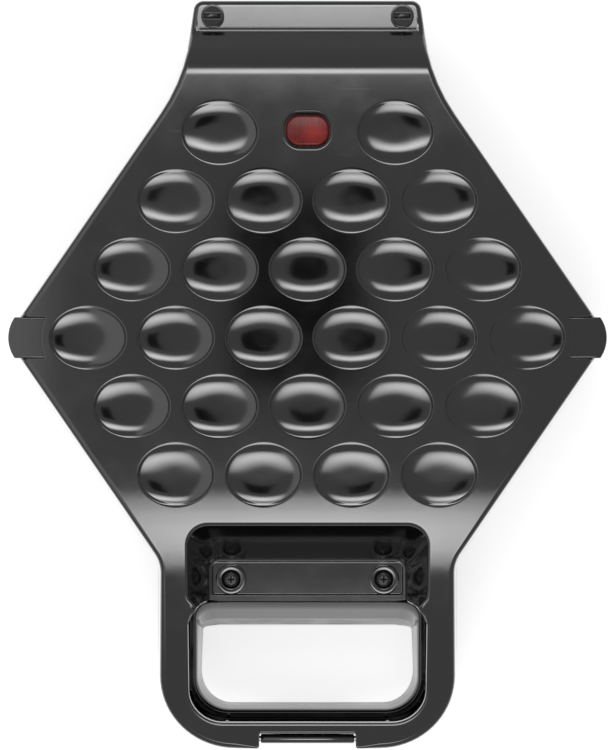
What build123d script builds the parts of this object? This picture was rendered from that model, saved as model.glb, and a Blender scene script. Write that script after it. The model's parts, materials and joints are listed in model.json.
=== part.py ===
from build123d import *
from math import atan2, cos, pi, radians, sin, tan
import os

# Bubble waffle maker: two hinged hexagonal shells around two cast plates.
# Millimetres. X is the line of symmetry's normal, -Y the handle, +Y the hinge, +Z up.
# The origin lies on the table below the middle of the outline.

# Levels
foot_height = 5.0
parting_z = 46.5
rim_gap = 0.4
base_rim_z = parting_z - rim_gap
lid_rim_z = parting_z + rim_gap
field_z = 90.0
shelf_z = 80.5
ceiling_z = 84.5

# Outline of the shells: hexagon, neck to the hinge, arms to the handle
edge_slope = 55.5
corner_y = 16.2
front_y = -166.0
rear_y = 166.8
base_rear_y = 140.0
base_front_y = -158.9
shell_wall = 2.8
base_lip = 0.2
lid_draft_front = 0.1
lid_draft_rear = 3.5
base_draft_front = 1.5
base_draft_rear = 2.0
chord_angle = 20.0
top_bevel = 1.8
bottom_bevel = 3.0
hollow_bevel = 24.0

# Half widths at the arm, the widest corner, the neck and the hinge flange, and the corners' radii
lid_rim_widths = (67.6, 137.7, 57.9, 51.5)
lid_top_widths = (63.6, 130.5, 53.0, 48.7)
base_rim_widths = tuple(width + base_lip for width in lid_rim_widths)
base_floor_widths = (65.4, 131.0, 54.2, 49.2)
rim_radii = (34.0, 13.0, 10.0, 80.0, 5.0)
lid_top_radii = (33.0, 15.0, 9.0, 80.0, 4.3)
base_floor_radii = (33.0, 15.0, 9.0, 80.0, 5.0)

# Side view of the lid: hinge shelf, slope, flat field, bend, sloping handle
slope_foot_y = 149.8
slope_top_y = 137.4
slope_foot_radius = 1.2
slope_top_radius = 22.0
front_bend_y = -69.5
front_bend_radius = 180.0
front_slope = 13.0
# Side view of the base: flat floor and a handle that rises
handle_bend_y = -108.0
handle_bend_radius = 60.0
handle_rise = 17.0

# Ribs inside the arms and behind the handle's front, alike in both shells
rib_half = 0.9
rib_clear = 4.0
arm_rib_x = 58.0
arm_rib_reach = 8.0
arm_rib_ys = (-112.0, -134.0)
front_rib_x = 36.0

# Corner tabs
tab_inner_x = 112.0
tab_bulge = 3.0
tab_half = 8.9
tab_end = 130.0
tab_top_z = 88.6
tab_inner_radius = 20.6

# Bubbles: rows of the lattice, counted from the hinge
bubble_pitch = 38.05
row_pitch = 29.7
first_row_y = 105.2
row_counts = (2, 4, 5, 6, 5, 4)
dimple_rx = 16.5
dimple_ry = 14.0
dimple_depth = 1.9
dimple_power = 3.4
dimple_sides = 10

# Pilot lamp
lamp_y = 106.1
lens_width = 18.9
lens_depth = 13.3
lens_corner = 6.0
lens_gap = 0.8
lens_flange = 1.8
holder_z = 70.0

# Recess in front of the field and the handle's opening
recess_half = 52.4
recess_rear_y = -65.0
recess_floor_half = 44.0
recess_floor_rear_y = -82.4
recess_floor_z = 60.0
recess_panel_sink = 1.2
recess_panel_front_y = -98.6
recess_panel_rear_y = -83.4
opening_half = 52.6
opening_rear_y = -101.2
opening_front_y = -154.1
opening_front_radius = 15.0
opening_rear_radius = 8.0
base_opening_half = 50.6
base_opening_front_y = -152.6
base_opening_rear_y = -102.7
base_opening_foot_y = -120.5
front_screw_x = 34.2
front_screw_y = -91.5
front_boss_radius = 6.9
front_counterbore = 1.4
front_counterbore_radius = 4.1

# Hinge
hinge_y = 146.0
hinge_z = parting_z
rod_radius = 2.0
rod_fit = 0.06
rod_half = 47.0
ear_radius = 5.0
lid_ear_x = 36.5
lid_ear_thickness = 2.5
base_ear_x = 41.0
base_ear_thickness = 4.0
strap_thickness = 1.5
hinge_screw_x = 41.5
hinge_screw_y = 156.9
hinge_screw_radius = 5.1
hinge_screw_head = 2.4
hinge_shank_radius = 2.0
hinge_shank_length = 8.0
retainer_radius = 4.0
retainer_width = 1.2
hinge_lug_x = 31.0

# Latch clip in the notch of the handle's front edge
notch_half = 21.4
notch_rear_y = -159.0
clip_half = 19.8
clip_y = -162.5
clip_z = 61.5
clip_barrel_radius = 2.5
clip_thickness = 2.6
clip_foot_z = 25.5
latch_pin_radius = 1.25
latch_pin_half = 25.0
catch_y = -159.9
catch_z = 35.0
catch_half = 16.0
notch_wall = 2.2

# Cooking plates
plate_thickness = 3.5
plate_rim_height = 2.5
plate_rim_width = 3.5
plate_corner_x = 131.8
plate_front_y = -68.0
plate_rear_y = 126.0
bubble_rx = 15.0
bubble_ry = 12.4
bubble_depth = 11.0
bubble_wall = 2.2
bubble_sides = 8
boss_sides = 8
lower_face_z = parting_z - 3.0
upper_face_z = parting_z + 3.0

# Heating elements and their shields
element_radius = 3.25
element_bend = 7.0
element_leg_x = 9.0
element_leg_y = 114.0
element_corners = ((element_leg_x, 62.0), (52.0, 62.0), (88.0, corner_y), (52.0, -16.0))
shield_corners = ((50.0, -42.0), (104.0, corner_y), (46.0, 96.0))
shield_radii = (8.0, 10.0, 8.0)
shield_thickness = 1.0
shield_post_radius = 3.2
shield_post_x = bubble_pitch
shield_post_ys = (86.0, -33.0)
small_screw_radius = 1.5
screw_clearance = 0.3

# Lower plate's screws, driven from below through posts on the floor
plate_screw_sites = ((69.0, -61.0), (-69.0, -61.0), (119.0, corner_y), (-119.0, corner_y), (0.0, 121.0))
post_radius = 4.8
post_seat_z = 30.0
post_bore = 3.6

# Feet, cord entry and small electrical parts
foot_radius = 8.0
foot_seat = 0.8
foot_bevel = 1.0
foot_sides = 16
foot_sites = ((50.0, -90.0), (-50.0, -90.0), (40.0, 120.0), (-40.0, 120.0))
entry_z = 15.6
entry_bore = 3.6
entry_rear_y = 147.0
bush_radius = 5.2
bush_collar_radius = 7.4
bush_snout_radius = 5.8
entry_inner_length = 6.0
thermostat_y = -60.5
thermostat_radius = 6.2
thermostat_height = 10.5
fuse_y = 70.0
fuse_radius = 2.0
fuse_length = 12.0
block_y = 104.0
block_half_width = 13.0
block_half_depth = 5.5
block_height = 13.0

# Bounds beyond the object, for tools that cut right through
above_all = 92.0
beside_all = 80.0


def row_ys():
    return [first_row_y - row_pitch * row for row in range(len(row_counts))]


def bubble_sites():
    """Centres of the 26 bubbles. The odd rows are offset by half a pitch."""
    sites = []
    for count, y in zip(row_counts, row_ys()):
        if count == 2:
            xs = (-bubble_pitch, bubble_pitch)
        else:
            xs = [bubble_pitch * (i - (count - 1) / 2) for i in range(count)]
        sites += [(x, y) for x in xs]
    return sites


def rounded(points, radii):
    """Closed face in the XY plane, with each corner rounded to its radius."""
    return make_face(FilletPolyline(*points, radius=radii, close=True))


def corner_chords(before, corner, after, radius):
    """Points that ease a corner by short chords instead of an arc."""
    corner = Vector(*corner)
    back = (Vector(*before) - corner).normalized()
    ahead = (Vector(*after) - corner).normalized()
    turn = 180 - back.get_angle(ahead)
    centre = corner + (back + ahead).normalized() * (radius / cos(radians(turn / 2)))
    start = corner + back * (radius * tan(radians(turn / 2))) - centre
    sense = 1 if back.cross(ahead).Z < 0 else -1
    steps = max(2, round(turn / chord_angle))
    return [centre + start.rotate(Axis.Z, sense * turn * k / steps) for k in range(steps + 1)]


def eased(points, radii):
    """Corner points of a closed outline, given by the right half from front to rear."""
    half = len(points)
    loop = [*points, *[(-x, y) for x, y in reversed(points)]]
    right = []
    for i in range(half):
        right += corner_chords(loop[i - 1], loop[i], loop[i + 1], radii[i])
    return right + [Vector(-v.X, v.Y) for v in reversed(right)]


def eased_face(points, radii):
    return make_face(Polyline(*eased(points, radii), close=True))


def both_sides(points, radii):
    """Mirrors the right half of an outline, given from front to rear."""
    left = [(-x, y) for x, y in reversed(points)]
    return rounded([*points, *left], [*radii, *reversed(radii)])


def shell_outline(z, arm, corner, neck, flange, front, rear, radii):
    """Outline of a shell at one height: arm, widest corner, neck and flange as half widths."""
    rise = tan(radians(edge_slope))
    points = [
        (arm, front),
        (arm, corner_y - (corner - arm) * rise),
        (corner, corner_y),
        (neck, corner_y + (corner - neck) * rise),
        (flange, rear),
    ]
    return [Vector(v.X, v.Y, z) for v in eased(points, radii)]


def side_profile(points, radii):
    """A side view, as points given in Y and Z from the rear to the front, with its bends in chords."""
    profile = [Vector(*points[0])]
    for i in range(1, len(points) - 1):
        profile += corner_chords(points[i - 1], points[i], points[i + 1], radii[i - 1])
    return [*profile, Vector(*points[-1])]


def level(profile, y):
    """Height of a side profile at y."""
    for rear, front in zip(profile, profile[1:]):
        if front.X <= y <= rear.X:
            return front.Y + (rear.Y - front.Y) * (y - front.X) / (rear.X - front.X)
    raise ValueError("the profile ends before the outline does")


def inset_loop(loop, distance):
    """The loop, given counterclockwise from above, moved inwards."""
    moved = []
    for i, point in enumerate(loop):
        before = (point - loop[i - 1]).normalized()
        after = (loop[(i + 1) % len(loop)] - point).normalized()
        inward = Vector(-before.Y - after.Y, before.X + after.X)
        moved.append(point + inward * (distance / (1 + before.dot(after))))
    return moved


def moulded(rim, far, profile, bevel):
    """A solid from a flat rim to a surface that follows a side profile, with a bevelled edge.

    rim and far are outlines with the same number of points, far being the drafted outline's far end.
    """
    sense = 1 if far[0].Z > rim[0].Z else -1
    surface = []
    for a, b in zip(rim, far):
        share = (level(profile, b.Y) - a.Z) / (b.Z - a.Z)
        surface.append(Vector(a.X + (b.X - a.X) * share, a.Y + (b.Y - a.Y) * share))
    columns = list(zip(rim, surface, inset_loop(surface, bevel)))
    for kink in profile[1:-1]:
        split = []
        for i, column in enumerate(columns):
            following = columns[(i + 1) % len(columns)]
            split.append(column)
            start = column[2].Y
            end = following[2].Y
            if (start - kink.X) * (end - kink.X) < 0:
                share = (kink.X - start) / (end - start)
                split.append(tuple(a + (b - a) * share for a, b in zip(column, following)))
        columns = split
    rings = [[], [], []]
    for low, shoulder, edge in columns:
        height = level(profile, edge.Y)
        rings[0].append(low)
        rings[1].append(Vector(shoulder.X, shoulder.Y, height - sense * bevel))
        rings[2].append(Vector(edge.X, edge.Y, height))
    faces = [Face(Wire.make_polygon(rings[0]))]
    for outer, inner in zip(rings, rings[1:]):
        for i in range(len(outer)):
            j = (i + 1) % len(outer)
            faces.append(Face(Wire.make_polygon([outer[i], outer[j], inner[j]])))
            faces.append(Face(Wire.make_polygon([outer[i], inner[j], inner[i]])))
    for rear, front in zip(profile, profile[1:]):
        strip = [v for v in rings[2] if front.X - 1e-6 <= v.Y <= rear.X + 1e-6]
        if len(strip) > 2:
            faces.append(Face(Wire.make_polygon(strip)))
    return Solid(Shell(faces))


def side_block(profile, far_z):
    """A block as wide as the appliance, between a side profile and the height far_z."""
    outline = [(v.X, v.Y) for v in profile]
    outline += [(profile[-1].X, far_z), (profile[0].X, far_z)]
    return extrude(Plane.YZ * make_face(Polyline(*outline, close=True)), amount=160, both=True)


def hollow_outline(z, arm, corner, neck, flange, front, rear):
    """Inner outline of a shell, with bevelled corners at the front."""
    rise = tan(radians(edge_slope))
    points = [
        (arm - hollow_bevel, front),
        (arm, front + hollow_bevel),
        (arm, corner_y - (corner - arm) * rise),
        (corner, corner_y),
        (neck, corner_y + (corner - neck) * rise),
        (flange, rear),
    ]
    left = [(-x, y) for x, y in reversed(points)]
    return Pos(0, 0, z) * make_face(Polyline(*points, *left, close=True))


def upright(low_z, high_z, half, front, rear, radii):
    """A block with upright walls and rounded corners, for an opening or the material round it."""
    face = Pos(0, 0, low_z) * both_sides([(half, front), (half, rear)], radii)
    return extrude(face, amount=high_z - low_z)


def disc(x, y, low, high, radius):
    return Pos(x, y, (low + high) / 2) * Cylinder(radius, high - low)


def peg(x, y, low, high, radius, sides=8):
    """A post, shank or hole inside the appliance: a prism, which has few faces."""
    return Pos(x, y, low) * extrude(RegularPolygon(radius, sides), amount=high - low)


def flat_faced(stations, ratio, sides):
    """A solid through ovals of one shape, given as height and half length, from the top down."""
    angles = [2 * pi * (i + 0.5) / sides for i in range(sides)]
    rings = [[Vector(r * cos(a), ratio * r * sin(a), z) for a in angles] for z, r in stations]
    faces = [Face(Wire.make_polygon(ring)) for ring in (rings[0], rings[-1])]
    for high, low in zip(rings, rings[1:]):
        for i in range(sides):
            j = (i + 1) % sides
            faces.append(Face(Wire.make_polygon([high[i], high[j], low[j], low[i]])))
    return Solid(Shell(faces))


def octagon(width, depth, cut):
    """A rectangle with its corners cut off."""
    return chamfer(Rectangle(width, depth).vertices(), cut)


def along_y(y0, y1, z, radius, sides):
    """A prism that runs in Y, such as a gland's collar."""
    face = Plane.XZ * RegularPolygon(radius, sides)
    return Pos(0, y1, z) * extrude(face, amount=y1 - y0)


def along_x(y, z, half, radius):
    return Pos(0, y, z) * Rot(0, 90, 0) * Cylinder(radius, 2 * half)


def slab(x0, x1, y0, y1, z0, z1):
    return Pos((x0 + x1) / 2, (y0 + y1) / 2, (z0 + z1) / 2) * Box(x1 - x0, y1 - y0, z1 - z0)


def mirrored(shape):
    return [shape, mirror(shape, about=Plane.YZ)]


def one_solid(shape):
    return shape.solids()[0]


# Lid

def lid_profile(drop=0.0):
    """The lid's top in the side view, or a ceiling that follows it."""
    end_y = 180.0
    end_z = field_z - (end_y + front_bend_y) * tan(radians(front_slope))
    slope = atan2(field_z - shelf_z, slope_foot_y - slope_top_y)
    shift = drop * tan(slope / 2)
    points = [
        (end_y, shelf_z - drop),
        (slope_foot_y - shift, shelf_z - drop),
        (slope_top_y - shift, field_z - drop),
        (front_bend_y, field_z - drop),
        (-end_y, end_z - drop),
    ]
    return side_profile(points, [slope_foot_radius, slope_top_radius, front_bend_radius])


def lid_outer():
    rim = shell_outline(lid_rim_z, *lid_rim_widths, front_y, rear_y, rim_radii)
    front = front_y + lid_draft_front
    top = shell_outline(field_z, *lid_top_widths, front, rear_y - lid_draft_rear, lid_top_radii)
    return moulded(rim, top, lid_profile(), top_bevel)


def corner_tab():
    """Right-hand tab: an upright pilaster with a curved end, lost in the flare lower down."""
    shoulder = tab_end - tab_bulge
    line = Polyline((tab_inner_x, tab_half), (tab_inner_x, -tab_half), (shoulder, -tab_half))
    nose = ThreePointArc((shoulder, -tab_half), (tab_end, 0), (shoulder, tab_half))
    back = Line((shoulder, tab_half), (tab_inner_x, tab_half))
    face = Pos(0, corner_y, lid_rim_z) * make_face([line, nose, back])
    return extrude(face, amount=tab_top_z - lid_rim_z)


def recess_cut(grow=0.0):
    """A hopper: a side view with a leaning rear wall, crossed with a front view with leaning side walls."""
    floor_z = recess_floor_z - 1.3 * grow
    front_end = -112.0 - grow
    lean = (recess_rear_y - recess_floor_rear_y) / (field_z - recess_floor_z)
    flare = (recess_half - recess_floor_half) / (field_z - recess_floor_z)
    rise = above_all - recess_floor_z
    rear = recess_floor_rear_y + grow
    side = [(front_end, floor_z), (rear, floor_z), (rear + lean * rise, above_all), (front_end, above_all)]
    half = recess_floor_half + grow
    wide = half + flare * rise
    front = [(-half, floor_z), (half, floor_z), (wide, above_all), (-wide, above_all)]
    across = extrude(Plane.YZ * make_face(Polyline(*side, close=True)), amount=beside_all, both=True)
    along = extrude(Plane.XZ * make_face(Polyline(*front, close=True)), amount=180, both=True)
    return across & along


def lid_opening(grow=0.0):
    radii = (opening_front_radius + grow, opening_rear_radius + grow)
    return upright(
        lid_rim_z - 2, above_all, opening_half + grow, opening_front_y - grow, opening_rear_y + grow, radii,
    )


def drawn_in(widths):
    """Half widths of the hollow in a shell, from those of its outside."""
    lean = shell_wall / sin(radians(edge_slope))
    return [width - (lean if i == 1 else shell_wall) for i, width in enumerate(widths)]


def ribs(low_z, high_z):
    """Ribs that both shells keep inside the arms and behind the handle's front."""
    made = []
    for x in (-arm_rib_x, arm_rib_x):
        for y in arm_rib_ys:
            made.append(slab(x - arm_rib_reach, x + arm_rib_reach, y - rib_half, y + rib_half, low_z, high_z))
    for x in (-front_rib_x, front_rib_x):
        made.append(slab(x - rib_half, x + rib_half, -170, -150, low_z, high_z))
    return made


def lid_hollow():
    w = shell_wall
    rim = hollow_outline(lid_rim_z - 0.5, *drawn_in(lid_rim_widths), front_y + w, rear_y - w)
    front = front_y + lid_draft_front + w
    top = hollow_outline(field_z, *drawn_in(lid_top_widths), front, rear_y - lid_draft_rear - w)
    hollow = loft([rim, top], ruled=True) & side_block(lid_profile(w), 0)
    hollow &= slab(-150, 150, -180, 180, lid_rim_z - 1, ceiling_z)
    hollow -= recess_cut(shell_wall)
    hollow -= lid_opening(shell_wall)
    notch_end = latch_pin_half + 0.9
    hollow -= slab(-notch_end, notch_end, -180, notch_rear_y + notch_wall, 40, field_z)
    hollow -= ribs(lid_rim_z + rib_clear, field_z)
    return hollow


def dimple():
    """A shallow oval dish below z = 0, steep at its rim and nearly flat in the middle."""
    stations = [(1.0, dimple_rx + 0.4)]
    for share in (1.0, 0.75, 0.4):
        stations.append((dimple_depth * (share**dimple_power - 1), share * dimple_rx))
    return flat_faced(stations, dimple_ry / dimple_rx, dimple_sides)


def lamp_hole(width, depth, low, high):
    face = Pos(0, lamp_y, low) * RectangleRounded(width, depth, lens_corner)
    return extrude(face, amount=high - low)


def recess_floor_detail(lid):
    """Sunk panel with a raised boss round each screw."""
    half = recess_floor_half - recess_panel_sink
    panel_z = recess_floor_z - recess_panel_sink
    panel = slab(-half, half, recess_panel_front_y, recess_panel_rear_y, panel_z, recess_floor_z + 1)
    for x in (-front_screw_x, front_screw_x):
        panel -= disc(x, front_screw_y, panel_z - 1, recess_floor_z, front_boss_radius)
    lid -= panel
    for x in (-front_screw_x, front_screw_x):
        seat_z = recess_floor_z - front_counterbore
        lid -= disc(x, front_screw_y, seat_z, recess_floor_z + 1, front_counterbore_radius)
        lid -= peg(x, front_screw_y, 50, recess_floor_z, small_screw_radius + screw_clearance)
    return lid


def make_lid_cover():
    body = lid_outer()
    step = Pos(95.1, corner_y, tab_top_z) * extrude(Rectangle(80, 2 * tab_half), amount=4)
    step -= Pos(2.5 * bubble_pitch, corner_y, tab_top_z + 2) * Cylinder(tab_inner_radius, 8)
    step &= slab(2.5 * bubble_pitch, 140, -30, 60, tab_top_z, 95)
    for cut in mirrored(step):
        body -= cut
    for tab in mirrored(corner_tab()):
        body += tab
    body -= lid_hollow()
    body -= recess_cut()
    body -= lid_opening()
    body -= slab(-notch_half, notch_half, -180, notch_rear_y, 40, 95)
    body -= along_x(clip_y, clip_z, latch_pin_half, latch_pin_radius)
    body -= lamp_hole(lens_width + 2 * lens_gap, lens_depth + 2.7 * lens_gap, 80, 95)
    body = recess_floor_detail(body)
    for x in (-hinge_screw_x, hinge_screw_x):
        bore = hinge_shank_radius + screw_clearance
        body -= peg(x, hinge_screw_y, shelf_z - hinge_shank_length, shelf_z + 1, bore)
    bowl = dimple()
    body -= [Pos(x, y, field_z) * bowl for x, y in bubble_sites()]
    return one_solid(body)


# Base

def base_profile(rise=0.0):
    """The base's underside in the side view, or a floor that follows it."""
    end_y = 200.0
    end_z = foot_height + (end_y + handle_bend_y) * tan(radians(handle_rise))
    points = [(end_y, foot_height + rise), (handle_bend_y, foot_height + rise), (-end_y, end_z + rise)]
    return side_profile(points, [handle_bend_radius])


def base_opening(grow=0.0):
    """The handle's opening through the base. Its rear wall leans forward on the way down."""
    radii = (opening_front_radius + grow, opening_rear_radius + grow)
    half = base_opening_half + grow
    rear = base_opening_rear_y + grow
    upper = upright(0, base_rim_z + 1, half, base_opening_front_y - grow, rear, radii)
    lean = [(-60, 0), (base_opening_foot_y + grow, 0), (rear, base_rim_z), (-60, base_rim_z)]
    wedge = extrude(Plane.YZ * make_face(Polyline(*lean, close=True)), amount=beside_all, both=True)
    return upper - wedge


def base_hollow():
    w = shell_wall
    front = base_front_y + base_draft_front + w
    low = hollow_outline(foot_height, *drawn_in(base_floor_widths), front, rear_y - base_draft_rear - w)
    high = hollow_outline(base_rim_z + 0.5, *drawn_in(base_rim_widths), base_front_y + w, rear_y - w)
    hollow = loft([low, high], ruled=True) & side_block(base_profile(w), 100)
    hollow &= slab(-150, 150, -180, base_rear_y - shell_wall, 0, 60)
    hollow -= base_opening(shell_wall)
    hollow -= ribs(0, base_rim_z - rib_clear)
    return hollow


def base_ear():
    """Right-hand hinge knuckle, as a plate that grows out of the rear wall."""
    wall_y = base_rear_y - 1.0
    reach = ear_radius
    points = [
        (wall_y, 28.0),
        (hinge_y + 0.6 * reach, hinge_z - 0.8 * reach),
        (hinge_y + reach, hinge_z - 0.2 * reach),
        (hinge_y + 0.7 * reach, hinge_z + 0.7 * reach),
        (hinge_y - 0.3 * reach, hinge_z + reach),
        (hinge_y - 1.1 * reach, base_rim_z),
        (wall_y, base_rim_z - 1.0),
    ]
    plate = extrude(Plane.YZ * make_face(Polyline(*points, close=True)), amount=base_ear_thickness)
    return Pos(base_ear_x, 0, 0) * plate


def make_base_shell():
    rim = shell_outline(base_rim_z, *base_rim_widths, base_front_y, rear_y, rim_radii)
    front = base_front_y + base_draft_front
    floor = shell_outline(foot_height, *base_floor_widths, front, rear_y - base_draft_rear, base_floor_radii)
    body = moulded(rim, floor, base_profile(), bottom_bevel)
    body &= slab(-150, 150, -180, base_rear_y, 0, 60)
    body -= base_hollow()
    body -= base_opening()
    root_y = base_front_y + 0.9
    points = [(root_y, catch_z - 2), (catch_y, catch_z), (catch_y, catch_z + 1.2), (root_y, catch_z + 5)]
    catch = Plane.YZ * make_face(Polyline(*points, close=True))
    body += extrude(catch, amount=catch_half, both=True)
    for x, y in plate_screw_sites:
        body += peg(x, y, foot_height + 1, lower_face_z - plate_thickness, post_radius)
        body -= peg(x, y, 0, post_seat_z, post_bore)
        body -= peg(x, y, 0, 50, small_screw_radius + screw_clearance)
    seat = flat_faced([(foot_height + foot_seat, foot_radius), (0, foot_radius)], 1, foot_sides)
    body -= [Pos(x, y, 0) * seat for x, y in foot_sites]
    body += mirrored(base_ear())
    body -= along_x(hinge_y, hinge_z, rod_half, rod_radius)
    body -= along_y(base_rear_y - 10, base_rear_y + 10, entry_z, bush_radius, 12)
    return one_solid(body)


def make_feet():
    top_z = foot_height + foot_seat
    stations = [(top_z, foot_radius), (foot_bevel, foot_radius), (0, foot_radius - foot_bevel)]
    foot = flat_faced(stations, 1, foot_sides)
    return [Pos(x, y, 0) * foot for x, y in foot_sites]


# Cooking plates, drawn face up with the face at z = 0

def bubble_form(top_z, length, depth, shares, sides):
    """Half an egg, downwards from top_z. shares are depth and length as parts of the whole."""
    stations = [(top_z - depth * d, length * s) for d, s in shares]
    return flat_faced(stations, bubble_ry / bubble_rx, sides)


def plate_outline(inset=0.0):
    rise = tan(radians(edge_slope))
    corner = plate_corner_x - inset / cos(radians(90 - edge_slope))
    front = plate_front_y + inset
    rear = plate_rear_y - inset
    points = [
        (corner - (corner_y - front) / rise, front),
        (corner, corner_y),
        (corner - (rear - corner_y) / rise, rear),
    ]
    return eased_face(points, [7 - inset / 2, 9 - inset / 2, 7 - inset / 2])


def make_plate():
    rim_top = plate_rim_height
    plate = extrude(Pos(0, 0, -plate_thickness) * plate_outline(), amount=plate_thickness + rim_top)
    plate -= extrude(plate_outline(plate_rim_width), amount=rim_top + 1)
    boss_depth = bubble_depth + bubble_wall - 1.0
    boss = bubble_form(-1.0, bubble_rx + 1.5 * bubble_wall, boss_depth, ((0, 1), (1, 0.68)), boss_sides)
    shares = ((-0.1, 1.03), (0, 1), (0.6, 0.83), (1, 0.42))
    hollow = bubble_form(0.0, bubble_rx, bubble_depth, shares, bubble_sides)
    plate += [Pos(x, y, 0) * boss for x, y in bubble_sites()]
    post_foot = -(bubble_depth + bubble_wall + 2 * element_radius)
    for x in (-shield_post_x, shield_post_x):
        for y in shield_post_ys:
            plate += peg(x, y, post_foot, -1, shield_post_radius)
            plate -= peg(x, y, post_foot - 1, post_foot + 8.5, small_screw_radius)
    plate -= [Pos(x, y, 0) * hollow for x, y in bubble_sites()]
    return plate


def make_lower_plate(plate):
    plate = Pos(0, 0, lower_face_z) * plate
    for x, y in plate_screw_sites:
        back_z = lower_face_z - plate_thickness
        plate -= peg(x, y, back_z - 1, back_z + 2.8, small_screw_radius)
    return one_solid(plate)


def make_upper_plate(plate):
    plate = Pos(0, 0, upper_face_z) * mirror(plate, about=Plane.XY)
    back_z = upper_face_z + plate_thickness
    boss_top = recess_floor_z - 1.3 * shell_wall
    for x in (-front_screw_x, front_screw_x):
        plate += slab(x - 6, x + 6, front_screw_y, plate_front_y + 2, upper_face_z, back_z)
        plate += peg(x, front_screw_y, upper_face_z, boss_top, 6.0)
        plate -= peg(x, front_screw_y, upper_face_z - 1, boss_top + 1, small_screw_radius)
    for x in (-hinge_lug_x, hinge_lug_x):
        plate += slab(x - 7, x + 8.5, plate_rear_y - 2, plate_rear_y + 5, upper_face_z, back_z)
        plate -= peg(x, plate_rear_y + 0.5, upper_face_z + 1, back_z + 1, small_screw_radius)
    return one_solid(plate)


# Heating

def make_element(z):
    """Tubular element: one loop with two legs to the rear. Each bend is made in two steps."""
    corners = [Vector(*corner) for corner in element_corners]
    right = [Vector(element_leg_x, element_leg_y)]
    for i, corner in enumerate(corners):
        before = corners[i - 1] if i else right[0]
        after = corners[i + 1] if i + 1 < len(corners) else Vector(-corner.X, corner.Y)
        right += [corner + (other - corner).normalized() * element_bend for other in (before, after)]
    left = [Vector(-v.X, v.Y) for v in reversed(right)]
    path = Pos(0, 0, z) * Polyline(*right, *left)
    start = Plane(origin=(element_leg_x, element_leg_y, z), z_dir=(0, -1, 0))
    section = start * Rot(0, 0, 22.5) * RegularPolygon(element_radius / cos(pi / 8), 8)
    tube = sweep(section, path=path, transition=Transition.RIGHT)
    for x in (-element_leg_x, element_leg_x):
        tube += Pos(x, element_leg_y + 2, z) * Box(1.2, 8, 4.0)
    return one_solid(tube)


def make_shield(low_z, edge_to):
    """Pressed sheet whose edge is turned towards the plate, with a gap for the element's legs."""
    outline = eased(shield_corners, shield_radii)
    outer = make_face(Polyline(*outline, close=True))
    inner = make_face(Polyline(*inset_loop(outline, shield_thickness), close=True))
    low, high = sorted((edge_to, low_z + shield_thickness if edge_to < low_z else low_z))
    sheet = Pos(0, 0, low_z) * extrude(outer, amount=shield_thickness)
    sheet += Pos(0, 0, low) * (extrude(outer, amount=high - low) - extrude(inner, amount=high - low))
    sheet -= slab(-15, 15, 90, 100, low, high)
    for x in (-shield_post_x, shield_post_x):
        for y in shield_post_ys:
            sheet -= peg(x, y, low_z - 3, low_z + 4, small_screw_radius + screw_clearance)
    return one_solid(sheet)


def hex_screw(x, y, seat_z, length, head_height, point):
    """Hexagon-headed screw. point is +1 if it points up and -1 if down; the head sits on seat_z."""
    head = peg(x, y, *sorted((seat_z, seat_z - point * head_height)), 3.0, 6)
    return one_solid(head + peg(x, y, *sorted((seat_z, seat_z + point * length)), small_screw_radius))


def cross_screw(x):
    """Pan-headed screw with a cross recess, pointing down into the upper plate's lug."""
    seat_z = recess_floor_z - front_counterbore
    top_z = seat_z + 2.2
    head = flat_faced([(top_z, 3.1), (top_z - 0.6, 3.7), (seat_z, 3.7)], 1, 16)
    head = Pos(x, front_screw_y, 0) * head
    cross = Box(4.2, 0.9, 2.4) + Box(0.9, 4.2, 2.4)
    shank = peg(x, front_screw_y, seat_z - 9.0, seat_z, small_screw_radius)
    return one_solid(head + shank - Pos(x, front_screw_y, top_z) * cross)


# Hinge and latch

def lid_ear():
    """Right-hand ear of the lid's hinge bracket, with the foot over the plate's lug."""
    strap_z = shelf_z - shell_wall
    foot_z = upper_face_z + plate_thickness
    points = [
        (hinge_y - ear_radius + 0.6, hinge_z - 2.0),
        (hinge_y + ear_radius - 0.6, hinge_z - 2.0),
        (160.0, strap_z),
        (150.0, strap_z),
        (143.0, 61.0),
        (plate_rear_y - 3.0, 61.0),
        (plate_rear_y - 3.0, foot_z),
        (plate_rear_y + 5.0, foot_z),
        (hinge_y - ear_radius + 0.6, hinge_z + 3.0),
    ]
    plate = extrude(Plane.YZ * make_face(Polyline(*points, close=True)), amount=lid_ear_thickness)
    knuckle = Pos(0, hinge_y, hinge_z) * Rot(0, 90, 0) * extrude(
        RegularPolygon(ear_radius, 16), amount=lid_ear_thickness
    )
    ear = Pos(lid_ear_x, 0, 0) * (plate + knuckle)
    ear += slab(25.0, lid_ear_x + 1, plate_rear_y - 3.0, plate_rear_y + 5.0, foot_z, foot_z + strap_thickness)
    hole = small_screw_radius + screw_clearance
    return ear - peg(hinge_lug_x, plate_rear_y + 0.5, foot_z - 1, foot_z + 5, hole)


def make_lid_bracket():
    top_z = shelf_z - shell_wall
    bracket = slab(-46, 46, 151.0, 161.3, top_z - strap_thickness, top_z)
    for ear in mirrored(lid_ear()):
        bracket += ear
    bracket -= along_x(hinge_y, hinge_z, 60, rod_radius + rod_fit)
    for x in (-hinge_screw_x, hinge_screw_x):
        bracket -= peg(x, hinge_screw_y, shelf_z - hinge_shank_length, top_z + 1, hinge_shank_radius)
    return one_solid(bracket)


def slotted_screw(x):
    top_z = shelf_z + hinge_screw_head
    radius = hinge_screw_radius
    head = flat_faced([(top_z, radius - 0.5), (top_z - 0.5, radius), (shelf_z, radius)], 1, 20)
    head = Pos(x, hinge_screw_y, 0) * head
    shank = peg(x, hinge_screw_y, shelf_z - hinge_shank_length, shelf_z, hinge_shank_radius)
    slot = Pos(x, hinge_screw_y, top_z) * Box(7.2, 2.2, 2.8)
    return one_solid(head + shank - slot)


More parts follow.
